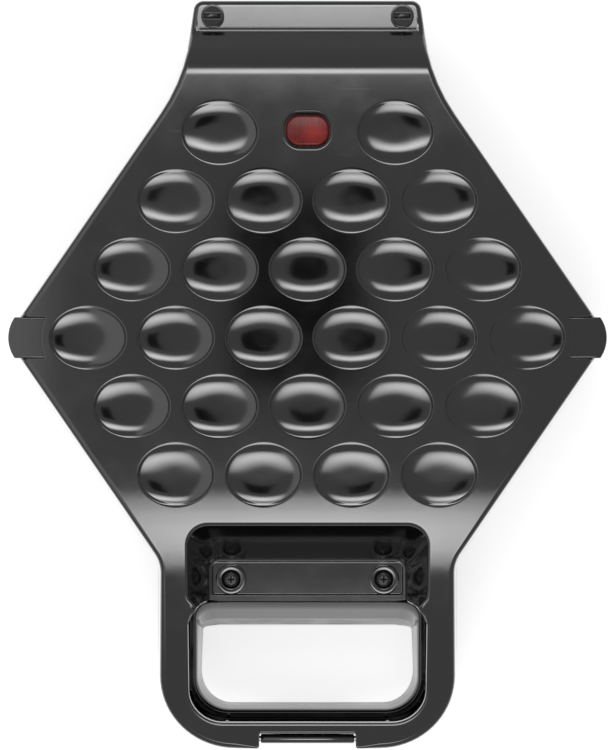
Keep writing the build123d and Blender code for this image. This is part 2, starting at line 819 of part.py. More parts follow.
def make_clip():
    """Hanging clip: barrel round the pin, plate, nose under the catch and a finger lip."""
    inner_y = clip_y + clip_thickness / 2
    outer_y = clip_y - clip_thickness / 2
    points = [
        (inner_y, clip_z), (outer_y, clip_z), (outer_y, clip_foot_z + 5), (-166.5, clip_foot_z + 1.2),
        (-166.0, clip_foot_z), (inner_y, clip_foot_z + 2.2), (inner_y, clip_foot_z + 3.5),
        (catch_y - 0.3, clip_foot_z + 6), (catch_y - 0.3, clip_foot_z + 7), (inner_y, clip_foot_z + 7),
    ]
    clip = extrude(Plane.YZ * make_face(Polyline(*points, close=True)), amount=clip_half, both=True)
    clip += along_x(clip_y, clip_z, clip_half, clip_barrel_radius)
    clip -= along_x(clip_y, clip_z, clip_half + 1, latch_pin_radius + rod_fit)
    return one_solid(clip)


def make_retainer():
    """Push-on cap round the right-hand end of the rod."""
    ring = RegularPolygon(retainer_radius, 12) - RegularPolygon(rod_radius / cos(pi / 12), 12)
    start = base_ear_x + base_ear_thickness + 0.3
    return Pos(start, hinge_y, hinge_z) * Rot(0, 90, 0) * extrude(ring, amount=retainer_width)


# Pilot lamp

def make_lens():
    body = lamp_hole(lens_width, lens_depth, ceiling_z, field_z - 0.4)
    flange_z = ceiling_z - lens_flange
    flange = Pos(0, lamp_y, flange_z) * octagon(lens_width + 6, lens_depth + 6, lens_corner)
    body += extrude(flange, amount=lens_flange)
    inner = Pos(0, lamp_y, flange_z - 1) * octagon(lens_width - 3, lens_depth - 3, lens_corner - 2)
    return one_solid(body - extrude(inner, amount=5.4))


def make_lamp_holder():
    high_z = ceiling_z - lens_flange
    outline = octagon(lens_width + 3, lens_depth + 3, 4)
    cup = extrude(Pos(0, lamp_y, holder_z) * outline, amount=high_z - holder_z)
    cup -= extrude(Pos(0, lamp_y, holder_z + 1.6) * octagon(lens_width, lens_depth, 3.2), amount=20)
    for x in (-4, 4):
        cup += slab(x - 0.4, x + 0.4, lamp_y - 2.4, lamp_y + 2.4, holder_z - 6, holder_z + 0.5)
    return one_solid(cup)


def make_neon():
    low_z = holder_z + 1.6
    stations = ((low_z + 14.9, 1.0), (low_z + 14.0, 2.3), (low_z + 12.4, 2.9), (low_z, 2.9))
    return Pos(0, lamp_y, 0) * flat_faced(stations, 1.0, 8)


# Electrical parts in the base

def make_thermostat():
    back_z = lower_face_z - plate_thickness
    low_z = back_z - thermostat_height
    body = peg(0, thermostat_y, low_z, back_z, thermostat_radius, 16)
    body += peg(0, thermostat_y, back_z - 4.0, back_z - 2.5, thermostat_radius + 1.2, 16)
    for x in (-3.5, 3.5):
        body += slab(x - 0.4, x + 0.4, thermostat_y - 3, thermostat_y + 3, low_z - 7.5, low_z + 0.5)
    return one_solid(body)


def make_fuse(shield_low_z):
    z = shield_low_z - fuse_radius
    can = extrude(RegularPolygon(fuse_radius, 8), amount=fuse_length)
    can = Pos(-fuse_length / 2, 0, 0) * Rot(0, 90, 0) * can
    leads = Box(2.5 * fuse_length, 0.8, 0.8)
    return one_solid(Pos(0, fuse_y, z) * (can + leads))


def make_terminal_block():
    floor_z = foot_height + shell_wall
    front, rear = block_y - block_half_depth, block_y + block_half_depth
    block = slab(-block_half_width, block_half_width, front, rear, floor_z, floor_z + block_height)
    for x in (-block_half_width / 2, 0.0, block_half_width / 2):
        block -= peg(x, block_y, floor_z + 7, floor_z + block_height + 1, 2.0)
        block -= slab(x - 1.6, x + 1.6, front - 1, rear + 1, floor_z + 3, floor_z + 6.2)
    return one_solid(block)


def make_entry_bush():
    inner_y = base_rear_y - shell_wall - entry_inner_length
    bush = along_y(inner_y, base_rear_y, entry_z, bush_radius, 12)
    bush += along_y(base_rear_y, base_rear_y + 3, entry_z, bush_collar_radius, 16)
    bush += along_y(base_rear_y, entry_rear_y, entry_z, bush_snout_radius, 16)
    return one_solid(bush - Pos(0, base_rear_y, entry_z) * Rot(90, 0, 0) * Cylinder(entry_bore, 60))


def save(name, shapes):
    shapes = shapes if isinstance(shapes, list) else [shapes]
    shape = shapes[0] if len(shapes) == 1 else Compound(children=shapes)
    export_step(shape, f"parts/{name}.step")


def main():
    os.makedirs("parts", exist_ok=True)
    plate = make_plate()
    lower_element_z = lower_face_z - bubble_depth - bubble_wall - element_radius
    upper_element_z = upper_face_z + bubble_depth + bubble_wall + element_radius
    lower_shield_z = lower_element_z - element_radius - shield_thickness
    upper_shield_z = upper_element_z + element_radius
    plate_back = upper_face_z + plate_thickness

    save("base_shell", make_base_shell())
    save("base_feet", make_feet())
    save("lower_cooking_plate", make_lower_plate(plate))
    save("lower_heating_element", make_element(lower_element_z))
    save("lower_heat_shield", make_shield(lower_shield_z, lower_shield_z + 5))
    save("lower_plate_screws", [hex_screw(x, y, post_seat_z, 12.4, 2.4, 1) for x, y in plate_screw_sites])
    sites = [(x, y) for x in (-shield_post_x, shield_post_x) for y in shield_post_ys]
    save("lower_shield_screws", [hex_screw(x, y, lower_shield_z, 8.0, 2.0, 1) for x, y in sites])
    save("hinge_rod", along_x(hinge_y, hinge_z, rod_half, rod_radius))
    save("rod_retainers", mirrored(make_retainer()))
    save("thermostat", make_thermostat())
    save("thermal_fuse", make_fuse(lower_shield_z))
    save("terminal_block", make_terminal_block())
    save("cord_entry_bush", make_entry_bush())

    save("lid_cover", make_lid_cover())
    save("upper_cooking_plate", make_upper_plate(plate))
    save("upper_heating_element", make_element(upper_element_z))
    save("upper_heat_shield", make_shield(upper_shield_z, upper_shield_z - 4))
    top_z = upper_shield_z + shield_thickness
    save("upper_shield_screws", [hex_screw(x, y, top_z, 8.0, 2.0, -1) for x, y in sites])
    seat_z = plate_back + strap_thickness
    lugs = (-hinge_lug_x, hinge_lug_x)
    save("upper_plate_screws", [hex_screw(x, plate_rear_y + 0.5, seat_z, 3.8, 2.0, -1) for x in lugs])
    save("lid_hinge_bracket", make_lid_bracket())
    save("lid_hinge_screws", [slotted_screw(x) for x in (-hinge_screw_x, hinge_screw_x)])
    save("lid_front_screws", [cross_screw(x) for x in (-front_screw_x, front_screw_x)])
    save("pilot_lamp_lens", make_lens())
    save("pilot_lamp_holder", make_lamp_holder())
    save("pilot_lamp_neon", make_neon())
    save("latch_pin", along_x(clip_y, clip_z, latch_pin_half, latch_pin_radius))
    save("latch_clip", make_clip())


main()
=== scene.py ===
import json
from math import ceil, cos, degrees, pi, radians, sin, sqrt, tan

import bpy
import numpy as np
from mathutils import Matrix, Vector
from mathutils.geometry import delaunay_2d_cdt


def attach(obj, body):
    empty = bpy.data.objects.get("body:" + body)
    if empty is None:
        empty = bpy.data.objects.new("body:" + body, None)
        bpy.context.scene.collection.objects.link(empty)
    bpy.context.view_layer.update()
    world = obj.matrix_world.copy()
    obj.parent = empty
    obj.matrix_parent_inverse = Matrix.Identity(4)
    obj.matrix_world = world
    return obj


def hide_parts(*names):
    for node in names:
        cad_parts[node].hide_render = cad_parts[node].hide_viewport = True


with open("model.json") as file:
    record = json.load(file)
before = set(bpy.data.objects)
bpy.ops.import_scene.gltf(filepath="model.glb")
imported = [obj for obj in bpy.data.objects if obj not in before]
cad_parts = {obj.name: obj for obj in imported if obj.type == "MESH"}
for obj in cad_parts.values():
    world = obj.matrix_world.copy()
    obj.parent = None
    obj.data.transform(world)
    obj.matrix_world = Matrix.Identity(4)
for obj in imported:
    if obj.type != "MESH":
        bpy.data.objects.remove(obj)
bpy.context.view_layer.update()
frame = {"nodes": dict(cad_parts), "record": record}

# Bubble waffle maker. Millimetres here, metres in the meshes. The same frame as the CAD:
# X across, -Y the handle, +Y the hinge, Z up from the table.

# Levels
lid_rim_z = 46.9
base_rim_z = 46.1
foot_height = 5.0
field_z = 90.0
shelf_z = 80.5
ceiling_z = 84.5
wall = 2.8

# Side view
rear_bend_y = 137.4
front_bend_y = -69.5
front_fall = 13.0
groove_y = 151.1
groove_depth = 0.55
base_bend_y = -108.0
base_rise = 17.0

# Outline
edge_slope = 55.5
corner_y = 16.2
front_y = -166.0
rear_y = 166.8
top_front_y = front_y + 0.1
top_rear_y = rear_y - 3.5
base_rear_y = 140.0
lid_rim_widths = (67.6, 137.6, 57.9, 51.5)
lid_top_widths = (63.6, 130.5, 53.0, 48.7)
base_rim_widths = (67.8, 137.65, 58.1, 51.7)
base_floor_widths = (65.4, 131.0, 54.2, 49.2)
rim_radii = (34.0, 13.0, 10.0, 80.0, 5.0)
top_radii = (33.0, 15.0, 9.0, 80.0, 4.3)
notch_half = 21.4
notch_y = -159.0
edge_round = 2.3
notch_round = 0.75
handle_front_y = -150.0

# Bubbles
pitch = 38.05
row_pitch = 29.7
first_row_y = 105.2
row_counts = (2, 4, 5, 6, 5, 4)
dimple_rx = 16.5
dimple_ry = 13.25
dimple_depth = 1.9
dimple_power = 3.4
dimple_flatness = 0.67
dimple_step = 0.955
dimple_blend = 0.6
bubble_rx = 15.0
bubble_ry = 12.4
bubble_depth = 11.0

# Recess and handle opening
hole_half = 52.4
hole_rear_y = -65.0
hole_front_y = -154.1
floor_half = 44.0
floor_rear_y = -82.4
floor_z = 60.0
opening_rear_y = -101.2
land_y = -98.4
hopper_z = 56.4
floor_lean = 3.0
nose_y = -102.0
nose_reach = 4.2
nose_width = 3.0
hole_front_round = 15.0
recess_round = 9.0
lip_depth = 5.5
lip_step = 2.0
opening_corner = 8.0
screw_x = 34.2
screw_y = -91.5
pit_depth = 1.4
boss_radius = 7.0
panel_y = -91.0
panel_half_x = 42.8
panel_half_y = 7.6
panel_drop = 1.2

# Corner tabs
tab_half = 8.9
tab_z = 88.6
step_radius = 20.6
tab_from_x = 105.0
tab_sink = 2.6

# Plates, hinge screws, pilot lamp and cord entry
lower_face_z = 43.5
upper_face_z = 49.5
hinge_screw_x = 41.5
hinge_screw_y = 156.9
lamp_y = 106.1
lamp_half_x = 9.45
lamp_half_y = 6.65
lamp_hole_half_x = 10.15
lamp_hole_half_y = 8.0
entry_z = 15.6


# Plane geometry

def arc_corner(before, corner, after, radius, count, step=5.0):
    """Points of the arc that rounds a corner of a polyline."""
    corner = np.array(corner, float)
    back = np.array(before, float) - corner
    ahead = np.array(after, float) - corner
    back /= np.hypot(*back)
    ahead /= np.hypot(*ahead)
    turn = pi - np.arccos(np.clip(back @ ahead, -1, 1))
    if count is None:
        count = max(2, ceil(degrees(turn) / step))
    bisector = back + ahead
    bisector /= np.hypot(*bisector)
    centre = corner + bisector * radius / cos(turn / 2)
    start = corner + back * radius * tan(turn / 2) - centre
    sense = 1 if back[0] * ahead[1] - back[1] * ahead[0] < 0 else -1
    across = np.array([-start[1], start[0]])
    angles = [sense * turn * k / count for k in range(count + 1)]
    return [centre + start * cos(a) + across * sin(a) for a in angles]


def rounded_loop(corners, radii, counts=None, step=5.0):
    """Closed counterclockwise loop with rounded corners, and the number of chords in each corner."""
    loop = []
    used = []
    for i, corner in enumerate(corners):
        count = counts[i] if counts else None
        arc = arc_corner(corners[i - 1], corner, corners[(i + 1) % len(corners)], radii[i], count, step)
        used.append(len(arc) - 1)
        loop += arc
    return np.array(loop), used


def mirrored_corners(right, radii):
    """Corners and radii of a symmetric outline, from those of its right half."""
    left = [(-x, y) for x, y in reversed(right)]
    return [*right, *left], [*radii, *reversed(radii)]


def rectangle_loop(half, low, high, radii, step):
    corners, both = mirrored_corners([(half, low), (half, high)], radii)
    return rounded_loop(corners, both, None, step)[0]


def shell_corners(widths, front, rear, radii, notch=True):
    """Corners of a shell's outline: half widths of the handle's arm, the hexagon, the neck and the flange."""
    arm, corner, neck, flange = widths
    rise = tan(radians(edge_slope))
    right = [(arm, front), (arm, corner_y - (corner - arm) * rise), (corner, corner_y)]
    right += [(neck, corner_y + (corner - neck) * rise), (flange, rear)]
    radii = list(radii)
    if notch:
        right = [(notch_half, notch_y), (notch_half, front)] + right
        radii = [1.0, 1.3] + radii
    return mirrored_corners(right, radii)


def inward(loop):
    """Direction that moves each point of a counterclockwise loop inwards by one unit."""
    before = loop - np.roll(loop, 1, axis=0)
    after = np.roll(loop, -1, axis=0) - loop
    before /= np.maximum(np.hypot(before[:, 0], before[:, 1]), 1e-9)[:, None]
    after /= np.maximum(np.hypot(after[:, 0], after[:, 1]), 1e-9)[:, None]
    side = np.stack([-before[:, 1] - after[:, 1], before[:, 0] + after[:, 0]], axis=1)
    return side / (1 + np.sum(before * after, axis=1))[:, None]


def profile(points, radii):
    """Height as a function of y, for a side view given from the rear to the front."""
    line = [points[0]]
    for before, corner, after, radius in zip(points, points[1:], points[2:], radii):
        line += arc_corner(before, corner, after, radius, None, 0.5)
    ys, zs = np.array([*line, points[-1]])[::-1].T
    return lambda y: np.interp(y, ys, zs)


side_end = 180.0
base_end = 200.0
lid_end_z = field_z - (side_end + front_bend_y) * tan(radians(front_fall))
groove_z = shelf_z - groove_depth
side_view = [(side_end, shelf_z), (groove_y + 1.0, shelf_z), (groove_y + 0.2, groove_z)]
side_view += [(groove_y - 0.6, groove_z), (groove_y - 1.0, shelf_z), (rear_bend_y, field_z)]
side_view += [(front_bend_y, field_z), (-side_end, lid_end_z)]
lid_level = profile(side_view, [0.8, 0.3, 0.3, 0.35, 22, 180])
base_end_z = foot_height + (base_end + base_bend_y) * tan(radians(base_rise))
base_level = profile([(base_end, foot_height), (base_bend_y, foot_height), (-base_end, base_end_z)], [60])


def inside(loop, xs, ys):
    """Which points lie inside a loop."""
    hit = np.zeros(len(xs), bool)
    for (ax, ay), (bx, by) in zip(loop, np.roll(loop, -1, axis=0)):
        if ay != by:
            hit ^= ((ay > ys) != (by > ys)) & (xs < (bx - ax) * (ys - ay) / (by - ay) + ax)
    return hit


def within(loops, xs, ys):
    """Which points lie inside the first loop and outside the others."""
    hit = inside(loops[0], xs, ys)
    for loop in loops[1:]:
        hit &= ~inside(loop, xs, ys)
    return hit


def rows_inside(loops, rows, gap, clear):
    """Points in rows across a loop, kept off its edge and its holes."""
    everything = np.concatenate(loops)
    xs = np.arange(loops[0][:, 0].min(), loops[0][:, 0].max(), gap)
    points = []
    for y in rows:
        for x in xs[within(loops, xs, np.full(len(xs), float(y)))]:
            if np.min(np.hypot(everything[:, 0] - x, everything[:, 1] - y)) > clear:
                points.append((float(x), float(y)))
    return points


# Mesh building

class Skin:
    """Points and faces of one piece."""

    def __init__(self):
        self.points = []
        self.faces = []
        self.normals = {}

    def add(self, x, y, z):
        self.points.append((x, y, z))
        return len(self.points) - 1

    def ring(self, loop, z):
        zs = np.broadcast_to(z, (len(loop),))
        return [self.add(p[0], p[1], h) for p, h in zip(loop, zs)]

    def bridge(self, a, b, closed=True, flip=False):
        n = len(a)
        for i in range(n if closed else n - 1):
            j = (i + 1) % n
            face = [a[i], a[j], b[j], b[i]]
            self.faces.append(face[::-1] if flip else face)

    def rings(self, rings, closed=True, flip=False):
        for a, b in zip(rings, rings[1:]):
            self.bridge(a, b, closed, flip)

    def fan(self, ring, centre, flip=False):
        c = self.add(*centre)
        for a, b in zip(ring, ring[1:] + ring[:1]):
            self.faces.append([c, b, a] if flip else [a, b, c])

    def capped(self, rings):
        """Joins rings and closes the first and the last with a flat face."""
        self.rings(rings)
        self.faces.append(rings[0][::-1])
        self.faces.append(rings[-1])

    def nested(self, loop, stages, level=None):
        """Rings at insets from a loop. Each stage has an inset and a height, or a drop below a level."""
        into = inward(loop)
        rings = []
        for inset, z in stages:
            moved = loop + into * inset
            rings.append(self.ring(moved, level(moved[:, 1]) - z if level else z))
        return rings

    def sheet(self, outer, holes, height, rows=(), gap=5.0, clear=1.5, flip=False, slope=None):
        """Fills a loop with holes, with points in rows where the sheet bends. height gives z from y."""
        loops = [outer, *holes]
        flats = [np.array([self.points[i][:2] for i in loop]) for loop in loops]
        extra = rows_inside(flats, rows, gap, clear)
        owners = [i for loop in loops for i in loop] + [None] * len(extra)
        points = [Vector(p) for p in (*np.concatenate(flats), *extra)]
        edges = []
        for loop in loops:
            start = len(edges)
            edges += [(start + k, start + (k + 1) % len(loop)) for k in range(len(loop))]
        out, _, tris, origin, _, _ = delaunay_2d_cdt(points, edges, [], 0, 1e-5)
        index = []
        for p, sources in zip(out, origin):
            owner = next((owners[o] for o in sources if owners[o] is not None), None)
            index.append(self.add(*p, float(height(p[1]))) if owner is None else owner)
        tris = np.array([t for t in tris if len(t) == 3])
        middle = np.array([tuple(p) for p in out])[tris].mean(axis=1)
        used = set()
        for t in tris[within(flats, middle[:, 0], middle[:, 1])]:
            a, b, c = (index[k] for k in t)
            if len({a, b, c}) == 3:
                self.faces.append([c, b, a] if flip else [a, b, c])
                used.update((a, b, c))
        slope = slope or slope_of(height)
        sign = -1 if flip else 1
        for i in used:
            s = slope(self.points[i][1])
            n = sqrt(1 + s * s)
            self.normals[i] = (0.0, -sign * s / n, sign / n)

    def build(self, name):
        mesh = bpy.data.meshes.new(name)
        mesh.from_pydata([(x / 1000, y / 1000, z / 1000) for x, y, z in self.points], [], self.faces)
        mesh.update()
        mesh.polygons.foreach_set("use_smooth", [True] * len(mesh.polygons))
        if self.normals:
            normals = [tuple(v.normal) for v in mesh.vertices]
            for i, n in self.normals.items():
                normals[i] = n
            mesh.normals_split_custom_set_from_vertices(normals)
        return linked(name, mesh)


def linked(name, data):
    """A new object in the scene with the given mesh, lamp or camera."""
    obj = bpy.data.objects.new(name, data)
    bpy.context.scene.collection.objects.link(obj)
    return obj


def slope_of(height):
    return lambda y: float(height(y + 0.05) - height(y - 0.05)) / 0.1


def flat_at(z):
    return lambda y: z


def wall_rings(skin, on_wall, normal, start, shares, height, radius, sense):
    """Rings of a wall from its rim to its rounded edge. sense is 1 if it rises and -1 if it falls."""
    foot = height - sense * radius
    levels = [start + (foot - start) * share for share in shares]
    rings = [skin.ring(on_wall(z), z) for z in levels]
    for step in range(7):
        a = step * pi / 12
        shift = np.reshape(radius * (1 - cos(a)), (-1, 1))
        rings.append(skin.ring(on_wall(foot) + normal * shift, foot + sense * radius * sin(a)))
    return rings


def bezier_edge(a, corner, b, steps):
    """Points of a rounded crease, from a to b with the crease's corner as the control point."""
    points = []
    for k in range(steps + 1):
        t = k / steps
        points.append((1 - t) ** 2 * a + 2 * t * (1 - t) * corner + t**2 * b)
    return points


def turned(skin, stations, centre, upright=True, count=48, flip=False):
    """A turned form: stations of radius and height, from the top's centre outwards and down."""

    def spot(r, h, a):
        u, v = r * cos(a), r * sin(a)
        offset = (u, v, h) if upright else (-u, h, v)
        return [c + d for c, d in zip(centre, offset)]

    rings = []
    for r, h in stations:
        if r < 1e-6:
            rings.append([skin.add(*spot(0, h, 0))] * count)
        else:
            rings.append([skin.add(*spot(r, h, 2 * pi * k / count)) for k in range(count)])
    for a, b in zip(rings, rings[1:]):
        for i in range(count):
            j = (i + 1) % count
            face = list(dict.fromkeys((a[i], b[i], b[j], a[j])))
            if len(face) > 2:
                skin.faces.append(face[::-1] if flip else face)


def rounded_stations(points, radius, steps=4):
    """Stations whose corners are rounded, except at the ends."""
    result = [points[0]]
    for before, corner, after in zip(points, points[1:], points[2:]):
        p, c, q = (np.array(v, float) for v in (before, corner, after))
        back = p - c
        ahead = q - c
        reach = min(radius, 0.45 * np.hypot(*back), 0.45 * np.hypot(*ahead))
        a = c + back / np.hypot(*back) * reach
        b = c + ahead / np.hypot(*ahead) * reach
        result += [tuple(v) for v in bezier_edge(a, c, b, steps)]
    result.append(points[-1])
    return result


def bevelled(low, high, bevel):
    """Insets and heights of a wall between two levels whose edges are rounded."""
    soft = 0.29 * bevel
    stages = [(bevel, low), (soft, low + soft), (0, low + bevel)]
    return stages + [(0, high - bevel), (soft, high - soft), (bevel, high)]


def slab(skin, low, high):
    """A block with rounded edges, as nested rings."""
    bevel = 0.3
    (x0, y0, z0), (x1, y1, z1) = low, high
    loop, _ = rounded_loop([(x1, y0), (x1, y1), (x0, y1), (x0, y0)], [bevel * 1.01 + 0.01] * 4, [3] * 4)
    skin.capped([skin.ring(loop + inward(loop) * inset * 0.98, z) for inset, z in bevelled(z0, z1, bevel)])


def bubble_sites():
    sites = []
    for row, count in enumerate(row_counts):
        xs = (-pitch, pitch) if count == 2 else [pitch * (i - (count - 1) / 2) for i in range(count)]
        sites += [(x, first_row_y - row_pitch * row) for x in xs]
    return sites


def refine(loops, limit, cuts):
    """Adds points to matched loops, on long edges and where the last loop crosses the given values of y."""
    ref = loops[-1]
    finer = [[] for _ in loops]
    for i in range(len(ref)):
        j = (i + 1) % len(ref)
        y, rise = ref[i][1], ref[j][1] - ref[i][1]
        length = np.hypot(*(loops[0][j] - loops[0][i]))
        parts = max(1, ceil(length / limit((y + ref[j][1]) / 2)))
        shares = list(np.linspace(0, 1, parts + 1)[:-1])
        if abs(rise) > 1e-9:
            for t in [(cut - y) / rise for cut in cuts]:
                if 1e-6 < t < 1 - 1e-6 and min(abs(t - u) for u in shares) > 1e-6:
                    shares.append(t)
        for points, loop in zip(finer, loops):
            points += [loop[i] + (loop[j] - loop[i]) * t for t in sorted(shares)]
    return [np.array(points) for points in finer]


def subdivide(loop, limit, cuts=()):
    return refine([loop], flat_at(limit), cuts)[0]


def bend_limit(y):
    """Longest edge of an outline near a value of y: short where the side view bends."""
    if abs(y - groove_y) < 1.6:
        return 0.2
    return 0.8 if 127 < y < 148 else 4.0


def split_loop(loop, y0):
    """Indices of a loop's points behind and in front of y0, where it has one point on each side."""
    n = len(loop)
    cut = [i for i in range(n) if abs(loop[i][1] - y0) < 1e-6]
    right = next(i for i in cut if loop[i][0] > 0)
    left = next(i for i in cut if loop[i][0] < 0)
    rear = [(right + k) % n for k in range((left - right) % n + 1)]
    front = [(left + k) % n for k in range((right - left) % n + 1)]
    return rear, front


def oblong(cx, cy, half_x, half_y, radius, step=6.0):
    signs = ((1, -1), (1, 1), (-1, 1), (-1, -1))
    corners = [(cx + half_x * u, cy + half_y * v) for u, v in signs]
    return rounded_loop(corners, [radius] * 4, None, step)[0]


def circle(cx, cy, r, count=40):
    a = np.arange(count) * 2 * pi / count
    return np.stack([cx + r * np.cos(a), cy + r * np.sin(a)], axis=1)


# Lid

def soft_ramp(x, soft):
    """0 below zero and x above it, with a rounded bend between."""
    return np.where(x > soft, x, np.where(x < -soft, 0.0, (x + soft) ** 2 / (4 * soft)))


def dimple_dish(unit, share):
    """Depth of a dish at a share of its half axes. It is flatter along X and steps down at its two ends."""
    stretch = (dimple_flatness * unit[:, 0] ** 2 + unit[:, 1] ** 2) ** (dimple_power / 2)
    fall = soft_ramp((share - dimple_step) / (1 - dimple_step), 0.3)
    depth = dimple_depth * (1 - stretch * share**dimple_power) - dimple_depth * (1 - stretch) * fall
    return soft_ramp(depth, dimple_blend)


def add_dimple(skin, cx, cy):
    """Rings of a dimple, closer together where its edge bends. Returns the outermost."""
    rings = []
    shares = [1.1, 1.07, 1.05, 1.034, 1.022, 1.012] + [1.004 - 0.008 * k for k in range(6)]
    shares += [0.955, 0.944, 0.93, 0.915, 0.895] + [0.87 - 0.0575 * k for k in range(15)]
    unit = circle(0, 0, 1, 72)
    for share in shares:
        loop = unit * (dimple_rx * share, dimple_ry * share) + (cx, cy)
        rings.append(skin.ring(loop, lid_level(loop[:, 1]) - dimple_dish(unit, share)))
    skin.rings(rings)
    skin.fan(rings[-1], (cx, cy, float(lid_level(cy)) - dimple_depth))
    return rings[0]


def tab_path(start, end, side):
    """Edge of the field round a corner tab, counterclockwise, with the direction towards the field."""
    centre = np.array([side * 2.5 * pitch, corner_y])
    reach = np.arcsin(tab_half / step_radius)
    angles = np.linspace(-reach, reach, 17)
    arc = [centre + step_radius * np.array([side * cos(a), side * sin(a)]) for a in angles]
    steps = np.linspace(0, 1, 6)
    lead = [start + (arc[0] - start) * t for t in steps[:-1]]
    tail = [arc[-1] + (end - arc[-1]) * t for t in steps[1:]]
    path = np.array([*lead, *arc, *tail])
    ahead = np.gradient(path, axis=0)
    ahead /= np.hypot(ahead[:, 0], ahead[:, 1])[:, None]
    return path, np.stack([-ahead[:, 1], ahead[:, 0]], axis=1)


def step_at_tab(skin, before, after, start, end):
    """The arc-shaped step from the field down to a tab. Returns the field's points along it."""
    path, left = tab_path(start, end, np.sign(start[0]))
    edge = 0.9
    left[0] = (np.array(skin.points[before][:2]) - path[0]) / edge
    left[-1] = (np.array(skin.points[after][:2]) - path[-1]) / edge
    levels = ((0, field_z - tab_z + 1.4), (0, 0.5), (0.04, 0.28), (0.14, 0.12), (0.29, 0.03), (0.5, 0))
    strips = [skin.ring(path + left * e, field_z - drop) for e, drop in levels]
    middle = skin.ring((path + left * edge)[1:-1], field_z)
    skin.rings([*strips, [before, *middle, after]], closed=False)
    return middle


def make_lid():
    skin = Skin()
    rim, counts = rounded_loop(*shell_corners(lid_rim_widths, front_y, rear_y, rim_radii))
    top, _ = rounded_loop(*shell_corners(lid_top_widths, top_front_y, top_rear_y, top_radii), counts)
    support = 0.5
    shift = cos(radians(edge_slope)) * (edge_round + support)
    cuts = []
    for d in (tab_half - 0.3, tab_half, tab_half + 0.9):
        cuts += [corner_y - d - shift, corner_y + d + shift]
    rim, top = refine((rim, top), bend_limit, cuts)
    across = np.abs(top[:, 0])
    height = lid_level(top[:, 1])

    def on_wall(z):
        share = (np.minimum(z, height) - lid_rim_z) / (field_z - lid_rim_z)
        return rim + (top - rim) * share[:, None]

    surface = on_wall(height)
    normal = inward(surface)
    beside_notch = np.clip((across - notch_half - 1.6) / 8, 0, 1)
    r = notch_round + (edge_round - notch_round) * np.where(top[:, 1] < handle_front_y, beside_notch, 1)
    edge = surface + normal * (r + support)[:, None]
    off_corner = np.where(across > tab_from_x, np.abs(edge[:, 1] - corner_y), np.inf)
    at_tab = off_corner < tab_half + 0.05
    height = np.where(off_corner < tab_half - 0.1, height - tab_sink, lid_level(edge[:, 1]))
    rings = skin.nested(rim, ((support, lid_rim_z), (0.15, lid_rim_z + 0.15), (0, lid_rim_z + support)))
    rings += wall_rings(skin, on_wall, normal, lid_rim_z + support, (0.25, 0.5, 0.75), height, r, 1)
    last = skin.ring(edge, height)
    skin.rings([*rings, last])

    n = len(last)
    start = next(i for i in range(n) if not at_tab[i] and top[i][1] < handle_front_y and top[i][0] > 0)
    boundary = []
    run = []
    for i in [(start + k) % n for k in range(n)]:
        if at_tab[i]:
            run.append(i)
            continue
        if run:
            before = last[(run[0] - 1) % n]
            boundary += step_at_tab(skin, before, last[i], edge[run[0]], edge[run[-1]])
            run = []
        boundary.append(last[i])

    holes = [add_dimple(skin, x, y) for x, y in bubble_sites()]

    stages = [(-0.9, 0), (-0.5, 0), (-0.29, 0.04), (-0.13, 0.13), (-0.04, 0.27), (0, 0.5)]
    stages.append((0, field_z - ceiling_z))
    lamp_rings = skin.nested(oblong(0, lamp_y, lamp_hole_half_x, lamp_hole_half_y, 7.0), stages, lid_level)
    skin.rings(lamp_rings)
    holes += [lamp_rings[0], make_recess(skin)]
    rows = [*np.arange(127.5, 148.5, 0.9), *np.arange(149.6, 152.6, 0.16)]
    rows += [*np.arange(-92, -47, 2.0), -100, -115, -130, -145, -156, -160]
    skin.sheet(boundary, holes, lid_level, rows, 3.5, 0.9)
    make_lid_inside(skin, rim, top, rings[0])
    for side in (-1, 1):
        make_tab(skin, side)
    return skin


def make_tab(skin, side):
    """Upright tab at one corner, with a curved end and rounded edges."""
    inner, shoulder, nose = 112.0, 127.2, 130.0
    radius = (tab_half**2 + (nose - shoulder) ** 2) / (2 * (nose - shoulder))
    reach = np.arcsin(tab_half / radius)
    arc = [(nose - radius + radius * cos(a), radius * sin(a)) for a in np.linspace(-reach, reach, 19)]
    corners = [(inner, -tab_half), *arc, (inner, tab_half)]
    loop = []
    for i, c in enumerate(corners):
        if i in (1, len(corners) - 2):
            loop += [tuple(p) for p in arc_corner(corners[i - 1], c, corners[i + 1], 0.5, 4)]
        else:
            loop.append(c)
    loop = np.array(loop) * (side, side) + (0, corner_y)
    soft = 0.6
    turns = [k * pi / 10 for k in range(6)]
    stages = [(0, 66)] + [(soft * (1 - cos(a)), tab_z - soft + soft * sin(a)) for a in turns]
    rings = skin.nested(loop, [*stages, (0.95, tab_z)])
    skin.rings(rings)
    skin.sheet(rings[-1], [], flat_at(tab_z))


def floor_at(y):
    """Height of the recess's floor, which leans back a little."""
    return floor_z - tan(radians(floor_lean)) * (y - screw_y)


